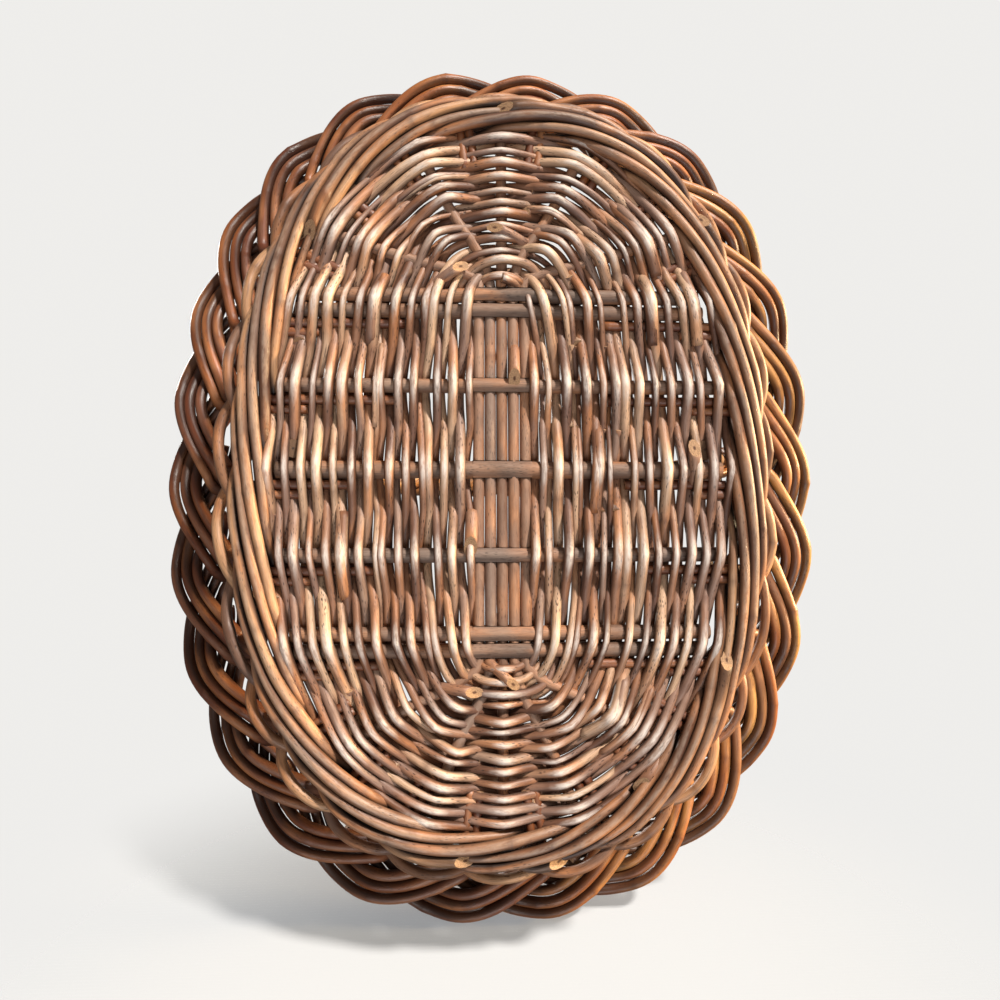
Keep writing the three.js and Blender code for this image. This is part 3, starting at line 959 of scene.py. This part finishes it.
def make_wale_round():
    """Three rods round the leaning stakes, just above the upsett."""
    passed = stake_count + wale_overlap
    lean_out, lean_up = math.cos(wall_lean), math.sin(wall_lean)
    for strand in range(rods_per_round):
        count = np.linspace(0, passed, int(passed * samples_per_stake) + 1)
        phase = (count + round_stagger + strand) / rods_per_round * 2 * math.pi
        run = count * stake_ring.length / stake_count
        from_wall = wale_shift - wale_swing * np.cos(phase)
        from_wall = from_wall + drift(run, spacing=0.05, amount=round_unevenness)
        twist = np.tanh(wale_squareness * np.sin(phase)) / math.tanh(wale_squareness)
        along_wall = -wale_lift * twist
        near_end = np.clip(1 - np.minimum(count, count[-1] - count) / wale_end_reach, 0, 1)
        from_wall = from_wall - wale_end_tuck * near_end
        around = ring_place(count + round_stagger)
        aim = stake_ring.normal(around)
        loose = np.maximum(-loose_at_minus_y * aim[:, 1], loose_at_plus_y * aim[:, 1])
        loose = np.clip(loose - tight_at_plus_x * aim[:, 0], 0, 1)
        loose = loose * np.clip(from_wall / wale_swing, 0, 1)
        outward = wale_centre[0] + from_wall * lean_out + along_wall * lean_up + loose_reach * loose
        height = wale_centre[1] - from_wall * lean_up + along_wall * lean_out
        path = stake_ring.place(around, outward, height)
        radius = (wale_butt - wale_taper * np.abs(2 * count / count[-1] - 1)) / 2
        mesh = RodMesh(f"wale_rod_{strand + 1}_willow", sides=12)
        mesh.add(path, radius, chance.uniform(0, 1))
        mesh.build("wale", [f"wale_rod_{strand + 1}"])


# Stakes and border

half_round = side_stakes + end_stakes
border_step_degrees = 9.0
border_squash = 2
border_rod_pitch = 0.0055
# Where the rods of a stake lie in the wall, in rod thicknesses along it and across it
wall_places = ((-0.5, 0), (0, -0.85), (0.5, 0))
# Between these heights a stake turns from the wall into the border
turn_start = 0.024
turn_end = border_height - border_drop * 1.3
border_end_range = (-18, 10)
stray_end = 48
long_insert_range = (0.035, 0.066)
border_rod_range = (0.0051, 0.0059)
border_thickening = 0.003
border_fullness = 1.02
border_taper = 0.16
border_slip = 0.00025
border_lift = 0.0004
# How worn the border rods are where they face down, and how strong the painted shade is where they touch
border_wear_and_shade = (0.3, 1.0)
# Tone of a stake in the wall and in the border. It is paler toward +Y, which is painted light on the +Y
# side and painted shade on the -Y side
wall_tint = 0.08
border_tint = 0.18
border_tint_range = 0.5
border_painted_light_toward_y = 0.32
border_tint_reach = 0.3


def foot_direction(index):
    """Which way a stake leaves the base: along its stick, or straight off the edge."""
    if index % half_round < side_stakes:
        return np.array([0.0, 1 if index < half_round else -1])
    return stake_ring.normal(stake_at[index])


def stake_centre_line(index, insert, end_degrees):
    """The stake's path: into the base, up through the waling and once round the rim."""
    foot = stake_at[index]
    wall = [
        (field_edge - insert, deck_height),
        (field_edge - insert / 2, deck_height),
        (field_edge + stake_straight, deck_height),
        (-stake_bend_inset, deck_height + stake_bend_rise),
        wale_centre,
    ]
    outside = foot_direction(index)
    upright = [np.append(stake_ring.at(foot) + outside * outward, z) for outward, z in wall]
    degrees = np.arange(border_start, end_degrees, border_step_degrees)
    angle = np.radians(degrees)
    rim_start = 0.25 + (index - side_rank) / stake_count
    u = rim_start + (degrees - border_start) / 360 * border_pitches / stake_count
    drop = np.tanh(border_flatness * np.cos(angle)) / math.tanh(border_flatness)
    roll = rim_ring.place(u, border_reach * np.sin(angle), border_height - border_drop * drop)
    middle = (upright[-1] + roll[0]) / 2
    path = smooth_path(upright + [middle] + list(roll), stake_path_step)
    across = stake_ring.normal(foot)
    return path, np.array([-across[1], across[0], 0.0])


def border_face(path, turned):
    """Which way the outside of the border faces at each point of a rod rolled round it."""
    centre = rim_ring.at(rim_ring.under(path[:, 0], path[:, 1]))
    middle = np.concatenate([centre, np.full((len(path), 1), border_height)], axis=-1)
    away = unit((path - middle) * [1, 1, border_squash])
    return unit(np.where(turned[:, None] > 0.5, away, [0.0, 0.0, -1.0]))


def add_border_rod(mesh, index, place, insert, end_degrees):
    """Adds one of the rods of a stake, in its place in the wall and in the border."""
    rank, behind = wall_places[place]
    path, wall_side = stake_centre_line(index, insert, end_degrees)
    run = run_of(path)
    flat_side = unit(np.cross([0, 0, 1], unit(np.gradient(path, axis=0))))
    turned = np.clip((path[:, 2] - turn_start) / (turn_end - turn_start), 0, 1)
    turned = np.maximum.accumulate(turned)
    side = unit(wall_side * (1 - turned)[:, None] + flat_side * turned[:, None])
    outside = np.cross(wall_side, [0, 0, 1])
    offset = rank * stake_rod_thickness * (1 - turned)
    offset = offset + (place - (len(wall_places) - 1) / 2) * border_rod_pitch * turned
    offset = offset + drift(run, spacing=0.035, amount=border_slip) * turned
    path = path + side * offset[:, None]
    path = path + outside * (behind * stake_rod_thickness * (1 - turned))[:, None]
    path[:, 2] += drift(run, spacing=0.04, amount=border_lift) * turned
    if behind:
        path = path[np.argmax(path[:, 2] > wale_centre[1]):]
    turned = turned[-len(path):]
    thickest = stake_rod_thickness + border_thickening * turned
    thick = np.minimum(chance.uniform(*border_rod_range), thickest)
    radius = thick / 2 * (border_fullness - border_taper * np.linspace(0, 1, len(path)) ** 2)
    # A random tone, made paler toward +Y as painted light and darker toward -Y as painted shade
    tone_and_painted_light = chance.uniform(0, border_tint_range) + border_tint
    tone_and_painted_light = tone_and_painted_light + border_painted_light_toward_y * foot_direction(index)[1]
    tint = np.interp(turned, [0, border_tint_reach], [wall_tint, tone_and_painted_light])
    mesh.add(path, radius, tint, worn_and_painted_shade(border_face(path, turned), *border_wear_and_shade))


def make_border_stakes():
    """Each stake is three rods: a pair from the base, and one more behind it in the wall.
    Some reach farther in beside their stick, and the ends of some stray."""
    pieces = []
    rods = len(wall_places)
    for index in range(stake_count):
        node = f"border_stake_{index + 1:02d}"
        mesh = RodMesh(f"{node}_rods", sides=12)
        beside_stick = index % half_round < side_stakes
        long_rod = 0 if index < half_round else rods - 1
        stray = chance.integers(0, 3 * rods)
        for place in range(rods):
            end_degrees = border_end + chance.uniform(*border_end_range)
            if place == stray:
                end_degrees = border_end + stray_end
            long_insert = chance.uniform(*long_insert_range)
            insert = long_insert if beside_stick and place == long_rod else stake_insert
            add_border_rod(mesh, index, place, insert, end_degrees)
        pieces.append(mesh.build("stake", [node]))
    return pieces


# Handle

bow_beside = (middle_stick_thickness + bow_thickness) / 2 + bow_beside_gap
roping_radius = bow_thickness / 2 + 2 * fit + roping_thickness / 2
roping_reach = roping_radius / math.cos(math.pi / roping_steps_per_turn)
roping_strands = 3
roping_strand_turn = 0.066
roping_samples = 42
roping_path_step = 0.001
roping_slip = 0.00025
roping_fullness = 1.02
roping_taper = 0.18


def bow_path(step):
    """From one tip up past the rim, over in an arch and down to the other tip."""
    rim_inside = rim_width / 2 - 2 * border_outside
    at_rim = rim_inside - roping_reach - roping_thickness / 2 - 2 * fit
    at_tip = base_width / 2 - wale_outside - wale_inside - bow_thickness - fit
    top = overall_height - roping_reach - roping_thickness / 2
    shoulder = rim_height + bow_shoulder_rise
    half = [
        (at_tip, bow_tip_depth),
        ((at_tip + at_rim) / 2, (bow_tip_depth + border_height) / 2),
        (at_rim, border_height),
    ]
    for degrees in (0, 22, 45, 68):
        angle = math.radians(degrees)
        out = at_rim * bow_shoulder_swell * math.cos(angle)
        half.append((out, shoulder + (top - shoulder) * math.sin(angle)))
    points = [(bow_beside, y, z) for y, z in half] + [(bow_beside, 0, top)]
    points += [(bow_beside, -y, z) for y, z in reversed(half)]
    return smooth_path(points, step)


def make_bow():
    mesh = RodMesh("handle_bow_rod", sides=16)
    mesh.add(bow_path(stick_path_step), bow_thickness / 2, tint=0.5, start_side=(1, 0, 0))
    mesh.build("bow", ["handle_bow"], "old_cut")


def make_roping():
    """Three pieces of three thin rods each, wound side by side round the bow."""
    line = bow_path(roping_path_step)
    along = unit(np.gradient(line, axis=0))
    side = unit(np.cross(along, [1.0, 0, 0]))
    over = unit(np.cross(side, along))
    part = np.linspace(0, 1, 1 + roping_turns * roping_samples)
    places = np.arange(len(line))
    wanted = (roping_start + (1 - 2 * roping_start) * part) * places[-1]
    centre = rows_at(wanted, places, line)
    side, over = unit(rows_at(wanted, places, side)), unit(rows_at(wanted, places, over))
    reach = (bow_thickness + roping_thickness) / 2 + fit
    for index in range(roping_rods):
        mesh = RodMesh(f"handle_roping_{index + 1}_rods", sides=10)
        for strand in range(roping_strands):
            spread = (strand - 1) * roping_strand_turn
            angle = (part * roping_turns + index / roping_rods + spread) * 2 * math.pi
            away = reach + drift(part, spacing=0.02, amount=roping_slip)
            coil = centre + side * (away * np.cos(angle))[:, None]
            coil = coil + over * (away * np.sin(angle))[:, None]
            radius = roping_thickness / 2 * (roping_fullness - roping_taper * part)
            tint = chance.uniform(0.3, 0.9)
            mesh.add(coil, radius, tint, start_side=(0, 1, 0))
        mesh.build("roping", [f"handle_roping_{index + 1}"])


# Materials

bump_strength = 0.8
bump_depth = 0.0003
cut_roughness = 0.75


def colour(hex_code):
    """A colour written as the screen shows it, turned into the renderer's own values."""
    parts = [int(hex_code[i : i + 2], 16) / 255 for i in (0, 2, 4)]
    linear = [p / 12.92 if p <= 0.04045 else ((p + 0.055) / 1.055) ** 2.4 for p in parts]
    return (*linear, 1.0)


class Nodes:
    """Short calls that add nodes to one tree and join them."""

    def __init__(self, tree):
        self.tree = tree

    def add(self, kind, **settings):
        node = self.tree.nodes.new(kind)
        for key, value in settings.items():
            setattr(node, key, value)
        return node

    def feed(self, socket, value):
        if isinstance(value, bpy.types.NodeSocket):
            self.tree.links.new(value, socket)
        else:
            socket.default_value = value

    def math(self, operation, a, b=0.5, clamp=False):
        node = self.add("ShaderNodeMath", operation=operation, use_clamp=clamp)
        self.feed(node.inputs[0], a)
        self.feed(node.inputs[1], b)
        return node.outputs[0]

    def mix(self, share, a, b):
        """Mixes two colours, whose sockets come after those for numbers and vectors."""
        node = self.add("ShaderNodeMix", data_type="RGBA")
        self.feed(node.inputs[0], share)
        self.feed(node.inputs[6], a)
        self.feed(node.inputs[7], b)
        return node.outputs[2]

    def range(self, value, low, high, to_low=0.0, to_high=1.0):
        node = self.add("ShaderNodeMapRange", interpolation_type="SMOOTHSTEP")
        for socket, given in zip(node.inputs, (value, low, high, to_low, to_high)):
            self.feed(socket, given)
        return node.outputs[0]

    def scaled(self, vector, scale):
        node = self.add("ShaderNodeVectorMath", operation="MULTIPLY")
        self.feed(node.inputs[0], vector)
        self.feed(node.inputs[1], scale)
        return node.outputs[0]

    def noise(self, vector, detail=2.0, rough=0.5):
        node = self.add("ShaderNodeTexNoise", noise_dimensions="3D")
        self.feed(node.inputs["Vector"], vector)
        self.feed(node.inputs["Scale"], 1.0)
        self.feed(node.inputs["Detail"], detail)
        self.feed(node.inputs["Roughness"], rough)
        return node.outputs["Fac"]


def new_group(name, inputs, outputs):
    group = bpy.data.node_groups.new(name, "ShaderNodeTree")
    for label, kind, default in inputs:
        socket = group.interface.new_socket(label, in_out="INPUT", socket_type=kind)
        socket.default_value = default
    for label, kind in outputs:
        group.interface.new_socket(label, in_out="OUTPUT", socket_type=kind)
    nodes = Nodes(group)
    return group, nodes, nodes.add("NodeGroupInput").outputs, nodes.add("NodeGroupOutput").inputs


def make_bark_group():
    """Willow bark: shades from rod to rod, streaks, stains, specks, buds, worn crests that are partly a
    painted highlight, and painted shade where rods touch.
    """
    group, nodes, given, result = new_group(
        "Willow bark",
        [
            ("Dark", "NodeSocketColor", colour("6b4a36")),
            ("Middle", "NodeSocketColor", colour("a87a5a")),
            ("Pale", "NodeSocketColor", colour("d0a27e")),
            ("Cool", "NodeSocketColor", colour("8d7668")),
            ("Warm", "NodeSocketColor", colour("d08a58")),
            ("Worn and highlight", "NodeSocketColor", colour("ead2bc")),
            ("Wear and highlight", "NodeSocketFloat", 0.5),
            ("Painted shade", "NodeSocketFloat", 0.8),
            ("Specks", "NodeSocketFloat", 0.5),
            ("Stain", "NodeSocketFloat", 0.5),
            ("Sheen roughness", "NodeSocketFloat", 0.5),
        ],
        [("Color", "NodeSocketColor"), ("Roughness", "NodeSocketFloat"), ("Height", "NodeSocketFloat")],
    )
    place = nodes.add("ShaderNodeAttribute", attribute_name="place").outputs["Vector"]
    look = nodes.add("ShaderNodeAttribute", attribute_name="willow").outputs["Vector"]
    parts = nodes.add("ShaderNodeSeparateXYZ")
    nodes.feed(parts.inputs[0], look)
    tint, wear_and_painted_light, bud = parts.outputs
    along = nodes.noise(nodes.scaled(place, (90, 90, 26)), 2.0)
    shade = nodes.math("ADD", tint, nodes.range(along, 0.3, 0.7, -0.22, 0.22), clamp=True)
    lower = nodes.mix(nodes.range(shade, 0.0, 0.5), given["Dark"], given["Middle"])
    base = nodes.mix(nodes.range(shade, 0.5, 1.0), lower, given["Pale"])
    turned = nodes.math("FRACT", nodes.math("MULTIPLY", tint, 7.3))
    base = nodes.mix(nodes.range(turned, 0.55, 0.95, 0.0, 0.85), base, given["Cool"])
    flush = nodes.noise(nodes.scaled(place, (70, 70, 30)), 1.0)
    base = nodes.mix(nodes.range(flush, 0.5, 0.68, 0.0, 0.65), base, given["Warm"])
    streak = nodes.noise(nodes.scaled(place, (2600, 2600, 150)), 3.0, 0.6)
    streaked = nodes.mix(nodes.range(streak, 0.35, 0.75, 0.0, 0.42), base, given["Dark"])
    stain = nodes.noise(nodes.scaled(place, (240, 240, 60)), 3.0, 0.65)
    stain_mask = nodes.math("MULTIPLY", nodes.range(stain, 0.55, 0.72), given["Stain"])
    stained = nodes.mix(stain_mask, streaked, given["Dark"])
    cells = nodes.add("ShaderNodeTexVoronoi", feature="F1")
    nodes.feed(cells.inputs["Vector"], nodes.scaled(place, (1250, 1250, 330)))
    nodes.feed(cells.inputs["Scale"], 1.0)
    patch = nodes.noise(nodes.scaled(place, (150, 150, 45)), 1.0)
    dots = nodes.range(cells.outputs["Distance"], 0.34, 0.14)
    dots = nodes.math("MULTIPLY", dots, nodes.range(patch, 0.48, 0.62))
    dots = nodes.math("MULTIPLY", dots, given["Specks"])
    scratch = nodes.noise(nodes.scaled(place, (1900, 1900, 130)), 2.0, 0.7)
    scratches = nodes.math("MULTIPLY", nodes.range(scratch, 0.6, 0.7), given["Specks"])
    scratched = nodes.mix(nodes.math("MULTIPLY", scratches, 0.8), stained, colour("3a241a"))
    dotted = nodes.mix(dots, scratched, colour("2c1a10"))
    ringed = nodes.mix(nodes.math("MULTIPLY", bud, 0.5), dotted, given["Dark"])
    # Below 0 the wear value is painted shade where rods touch, mixed toward a near-black brown
    painted_shade = nodes.math("MAXIMUM", nodes.math("MULTIPLY", wear_and_painted_light, -1.0), 0.0)
    painted_shade = nodes.math("MULTIPLY", painted_shade, given["Painted shade"])
    with_painted_shade = nodes.mix(nodes.math("MINIMUM", painted_shade, 1.0), ringed, colour("291a13"))
    # Pale where a rod is rubbed; on the weavers' crests this is partly a painted highlight
    rubbed = nodes.noise(nodes.scaled(place, (700, 700, 220)), 3.0, 0.6)
    worn = nodes.math("MAXIMUM", wear_and_painted_light, 0.0)
    worn = nodes.math("MULTIPLY", worn, nodes.range(rubbed, 0.3, 0.6, 0.3, 1.0))
    worn = nodes.math("MULTIPLY", worn, given["Wear and highlight"], clamp=True)
    nodes.feed(result["Color"], nodes.mix(worn, with_painted_shade, given["Worn and highlight"]))
    rough = nodes.math("ADD", given["Sheen roughness"], nodes.range(streak, 0.3, 0.8, -0.06, 0.1))
    rough = nodes.math("ADD", rough, nodes.math("MULTIPLY", worn, 0.12), clamp=True)
    nodes.feed(result["Roughness"], rough)
    ridge = nodes.math("MULTIPLY", streak, 0.5)
    height = nodes.math("ADD", ridge, nodes.math("MULTIPLY", bud, 0.8))
    height = nodes.math("SUBTRACT", height, nodes.math("MULTIPLY", dots, 0.6))
    nodes.feed(result["Height"], height)
    return group


def make_cut_group():
    """The cut end of a rod: pale wood with a fine grain, and a small dark pith."""
    group, nodes, given, result = new_group(
        "Cut willow",
        [("Wood", "NodeSocketColor", colour("d9b48c")), ("Pith", "NodeSocketColor", colour("6e4428"))],
        [("Color", "NodeSocketColor"), ("Height", "NodeSocketFloat")],
    )
    place = nodes.add("ShaderNodeAttribute", attribute_name="place").outputs["Vector"]
    flat = nodes.scaled(place, (1, 1, 0))
    length = nodes.add("ShaderNodeVectorMath", operation="LENGTH")
    nodes.feed(length.inputs[0], flat)
    core = nodes.range(length.outputs["Value"], 0.0009, 0.0003)
    fibre = nodes.noise(nodes.scaled(place, (3000, 3000, 3000)), 2.0)
    wood = nodes.mix(nodes.range(fibre, 0.3, 0.75, 0.0, 0.6), given["Wood"], given["Pith"])
    nodes.feed(result["Color"], nodes.mix(core, wood, given["Pith"]))
    nodes.feed(result["Height"], fibre)
    return group


def willow(name, group, values):
    """A material that shows one of the groups, with values of its own, through a plain shader."""
    material = bpy.data.materials.new(name)
    material.use_nodes = True
    nodes = Nodes(material.node_tree)
    shader = material.node_tree.nodes["Principled BSDF"]
    look = nodes.add("ShaderNodeGroup", node_tree=group)
    for label, value in values.items():
        look.inputs[label].default_value = value
    bump = nodes.add("ShaderNodeBump")
    bump.inputs["Strength"].default_value = bump_strength
    bump.inputs["Distance"].default_value = bump_depth
    nodes.feed(bump.inputs["Height"], look.outputs["Height"])
    nodes.feed(shader.inputs["Base Color"], look.outputs["Color"])
    nodes.feed(shader.inputs["Normal"], bump.outputs["Normal"])
    nodes.feed(shader.inputs["Roughness"], look.outputs.get("Roughness", cut_roughness))
    return material


def bark(name, dark, middle, pale, cool, worn, wear_and_painted_light, specks, stain, rough):
    shades = {"Dark": dark, "Middle": middle, "Pale": pale, "Cool": cool, "Worn and highlight": worn}
    values = {label: colour(shade) for label, shade in shades.items()}
    values.update({"Wear and highlight": wear_and_painted_light, "Specks": specks, "Stain": stain, "Sheen roughness": rough})
    return willow(name, bark_group, values)


def cut_wood(name, wood, pith):
    return willow(name, cut_group, {"Wood": colour(wood), "Pith": colour(pith)})


bark_group = make_bark_group()
cut_group = make_cut_group()
# On the weavers the worn shade is partly a painted highlight on their crests
looks = {
    "weaver": bark("Weaver willow", "6e4936", "b17f60", "e3ba96", "9a7b6c", "f6e9dd", 0.95, 0.9, 0.45, 0.5),
    "wale": bark("Wale willow", "5f3d2c", "9a6c4d", "cd9c72", "876a59", "efd8c2", 0.5, 0.6, 0.4, 0.45),
    "stake": bark("Stake willow", "6c3820", "a66132", "d99b56", "8a5a42", "ecd0b4", 0.3, 0.5, 0.4, 0.42),
    "stick": bark("Stick bark", "503a2d", "8d6a54", "b08d75", "7d685c", "d6bfaa", 0.3, 0.6, 0.5, 0.6),
    "long_stick": bark(
        "Long stick bark", "6e4c3a", "a1765c", "bf9478", "8d7466", "dcc2aa", 0.3, 0.6, 0.4, 0.55
    ),
    "bow": bark("Bow bark", "5e4330", "8f6848", "b08a66", "7d6a5c", "d8bd9c", 0.3, 0.5, 0.5, 0.5),
    "roping": bark("Roping willow", "8a5a34", "bb8350", "dcaa72", "9c7d64", "eed6b8", 0.3, 0.4, 0.3, 0.42),
    "old_cut": cut_wood("Old cut willow", "7a5a40", "3d281b"),
    "cut_end": cut_wood("Cut willow end", "c79c74", "5f3d28"),
}

make_cross_sticks()
make_long_sticks()
make_base_weave()
make_upsett()
make_wale_round()
border_pieces = make_border_stakes()
make_bow()
make_roping()


# Floor, backdrop and light

backdrop_shade = (0.86, 0.85, 0.83, 1.0)
end_floor_shade = (0.70, 0.715, 0.73, 1.0)
floor_half = 3.0
floor_drop = 0.0004
room_shade = (1.0, 0.985, 0.96, 1.0)
room_strength = 0.17
# The floor at the end of the basket: how it leans in radians, how far it reaches, and where
# it starts and ends fading out
end_floor_lean = 0.235
end_floor_reach = 0.32
end_floor_front = 0.10
end_floor_fade = (0.06, 0.32)
strip_step = 0.002


def floor_material(name):
    """A pale floor that shows only from the side where the basket stands."""
    material = bpy.data.materials.new(name)
    material.use_nodes = True
    nodes = Nodes(material.node_tree)
    shader = material.node_tree.nodes["Principled BSDF"]
    shader.inputs["Base Color"].default_value = backdrop_shade
    shader.inputs["Roughness"].default_value = 0.9
    clear = nodes.add("ShaderNodeBsdfTransparent")
    join = nodes.add("ShaderNodeMixShader")
    nodes.feed(join.inputs[0], nodes.add("ShaderNodeNewGeometry").outputs["Backfacing"])
    nodes.feed(join.inputs[1], shader.outputs[0])
    nodes.feed(join.inputs[2], clear.outputs[0])
    nodes.feed(material.node_tree.nodes["Material Output"].inputs["Surface"], join.outputs[0])
    return material


def add_floor(name, points, faces, material):
    mesh = bpy.data.meshes.new(name)
    mesh.from_pydata(points, [], faces)
    mesh.materials.append(material)
    floor = bpy.data.objects.new(name, mesh)
    floor.visible_shadow = False
    floor.visible_diffuse = False
    floor.visible_glossy = False
    bpy.context.scene.collection.objects.link(floor)


def make_foot_floor():
    corners = [(-1, -1), (1, -1), (1, 1), (-1, 1)]
    points = [(x * floor_half, y * floor_half, -floor_drop) for x, y in corners]
    add_floor("floor_under_foot", points, [(0, 1, 2, 3)], floor_material("floor_under_foot"))


def end_floor_material():
    """The same pale floor, fading out round the end of the basket."""
    material = floor_material("floor_under_end")
    nodes = Nodes(material.node_tree)
    shader = material.node_tree.nodes["Principled BSDF"]
    shader.inputs["Base Color"].default_value = end_floor_shade
    join = material.node_tree.nodes["Mix Shader"]
    where = nodes.add("ShaderNodeNewGeometry").outputs
    away = nodes.add("ShaderNodeVectorMath", operation="LENGTH")
    nodes.feed(away.inputs[0], nodes.scaled(where["Position"], (0, 1, 1.2)))
    fade = nodes.range(away.outputs["Value"], *end_floor_fade)
    nodes.feed(join.inputs[0], nodes.math("MAXIMUM", fade, where["Backfacing"]))
    return material


def make_end_floor():
    """A floor for the end that the basket stands on in the photo's view: narrow strips
    along it that are there only from below, so other views don't see a wall. Seen from
    the camera, each strip ends where the next one begins."""
    eye = bpy.context.scene.camera.matrix_world.translation
    lean_up, lean_in = math.cos(end_floor_lean), math.sin(end_floor_lean)
    touching = min(
        vertex.co.x * lean_up - vertex.co.z * lean_in
        for piece in border_pieces
        for vertex in piece.data.vertices
    )
    points, faces = [], []
    for along in np.arange(-end_floor_front, end_floor_reach, strip_step):
        x = touching * lean_up + along * lean_in
        z = -touching * lean_in + along * lean_up
        sight_slope = (eye.x - x) / (z - eye.z)
        low = x - strip_step * (lean_up * sight_slope + lean_in)
        first = len(points)
        points += [(low, side * end_floor_reach, z) for side in (-1, 1)]
        points += [(x, side * end_floor_reach, z) for side in (1, -1)]
        faces.append(tuple(range(first, first + 4)))
    add_floor("floor_under_end", points, faces, end_floor_material())


def light_room():
    """Soft light from all round, and a pale backdrop that only the camera sees."""
    world = bpy.data.worlds.new("Pale room")
    world.use_nodes = True
    bpy.context.scene.world = world
    nodes = Nodes(world.node_tree)
    room = world.node_tree.nodes["Background"]
    room.inputs["Color"].default_value = room_shade
    room.inputs["Strength"].default_value = room_strength
    backdrop = nodes.add("ShaderNodeBackground")
    backdrop.inputs["Color"].default_value = backdrop_shade
    backdrop.inputs["Strength"].default_value = 1.0
    either = nodes.add("ShaderNodeMixShader")
    nodes.feed(either.inputs[0], nodes.add("ShaderNodeLightPath").outputs["Is Camera Ray"])
    nodes.feed(either.inputs[1], room.outputs[0])
    nodes.feed(either.inputs[2], backdrop.outputs[0])
    nodes.feed(world.node_tree.nodes["World Output"].inputs["Surface"], either.outputs[0])


def add_sun(name, toward, strength, shade, spread):
    """A soft lamp that shines from the given direction onto the basket."""
    lamp = bpy.data.lights.new(name, "SUN")
    lamp.energy = strength
    lamp.color = shade
    lamp.angle = math.radians(spread)
    sun = bpy.data.objects.new(name, lamp)
    sun.rotation_mode = "QUATERNION"
    sun.rotation_quaternion = Vector(toward).to_track_quat("Z", "Y")
    bpy.context.scene.collection.objects.link(sun)


make_foot_floor()
light_room()
add_sun("key_below", (0.72, 0.42, -0.55), 4.6, (1.0, 0.94, 0.87), 6)
add_sun("fill_below", (-0.8, 0.0, -1.0), 1.1, (0.97, 0.98, 1.0), 30)
add_sun("key_above", (0.4, -0.6, 1.0), 2.0, (1.0, 0.96, 0.9), 12)
add_sun("side_warm", (0.2, 1.0, -0.04), 8.4, (1.0, 0.77, 0.45), 10)


# Camera

# The photo's view, fitted to the size and the middle of the base and of the rim in it
focal_pixels = 736.0
image_pixels = 1000.0
sensor_width = 36.0
base_distance = 0.3267
base_plane = 0.002
base_centre_px = (502.9, 468.1)
rim_centre_px = (497.0, 480.9)
rim_scale = 1914.0


def offset_from(middle, centre_px, pixels_per_metre):
    """How far right and up of the middle of the picture a centre lies, in metres."""
    return (centre_px[0] - middle) / pixels_per_metre, (middle - centre_px[1]) / pixels_per_metre


def add_camera():
    """Looks up at the underside, as the photo does: image up is +X, right is +Y."""
    base_scale = focal_pixels / base_distance
    middle = image_pixels / 2
    base_offset = offset_from(middle, base_centre_px, base_scale)
    rim_offset = offset_from(middle, rim_centre_px, rim_scale)
    rise = border_height - base_plane
    z_right = (rim_offset[0] - base_offset[0]) / rise
    z_up = (rim_offset[1] - base_offset[1]) / rise
    up = Vector((math.sqrt(1 - z_up**2), 0, z_up))
    right = Vector((0, math.sqrt(1 - z_right**2), z_right))
    forward = -right.cross(up).normalized()
    right = forward.cross(up).normalized()
    up = right.cross(forward)
    base_middle = Vector((0, 0, base_plane))
    spot = base_middle - right * base_offset[0] - up * base_offset[1] - forward * base_distance
    lens = bpy.data.cameras.new("photo_view")
    lens.sensor_width = sensor_width
    lens.lens = focal_pixels / image_pixels * sensor_width
    lens.clip_start = 0.01
    camera = bpy.data.objects.new("photo_view", lens)
    turned = Matrix((right, up, -forward)).transposed().to_4x4()
    camera.matrix_world = Matrix.Translation(spot) @ turned
    bpy.context.scene.collection.objects.link(camera)
    bpy.context.scene.camera = camera


add_camera()
make_end_floor()
bpy.context.scene.view_settings.view_transform = "Standard"
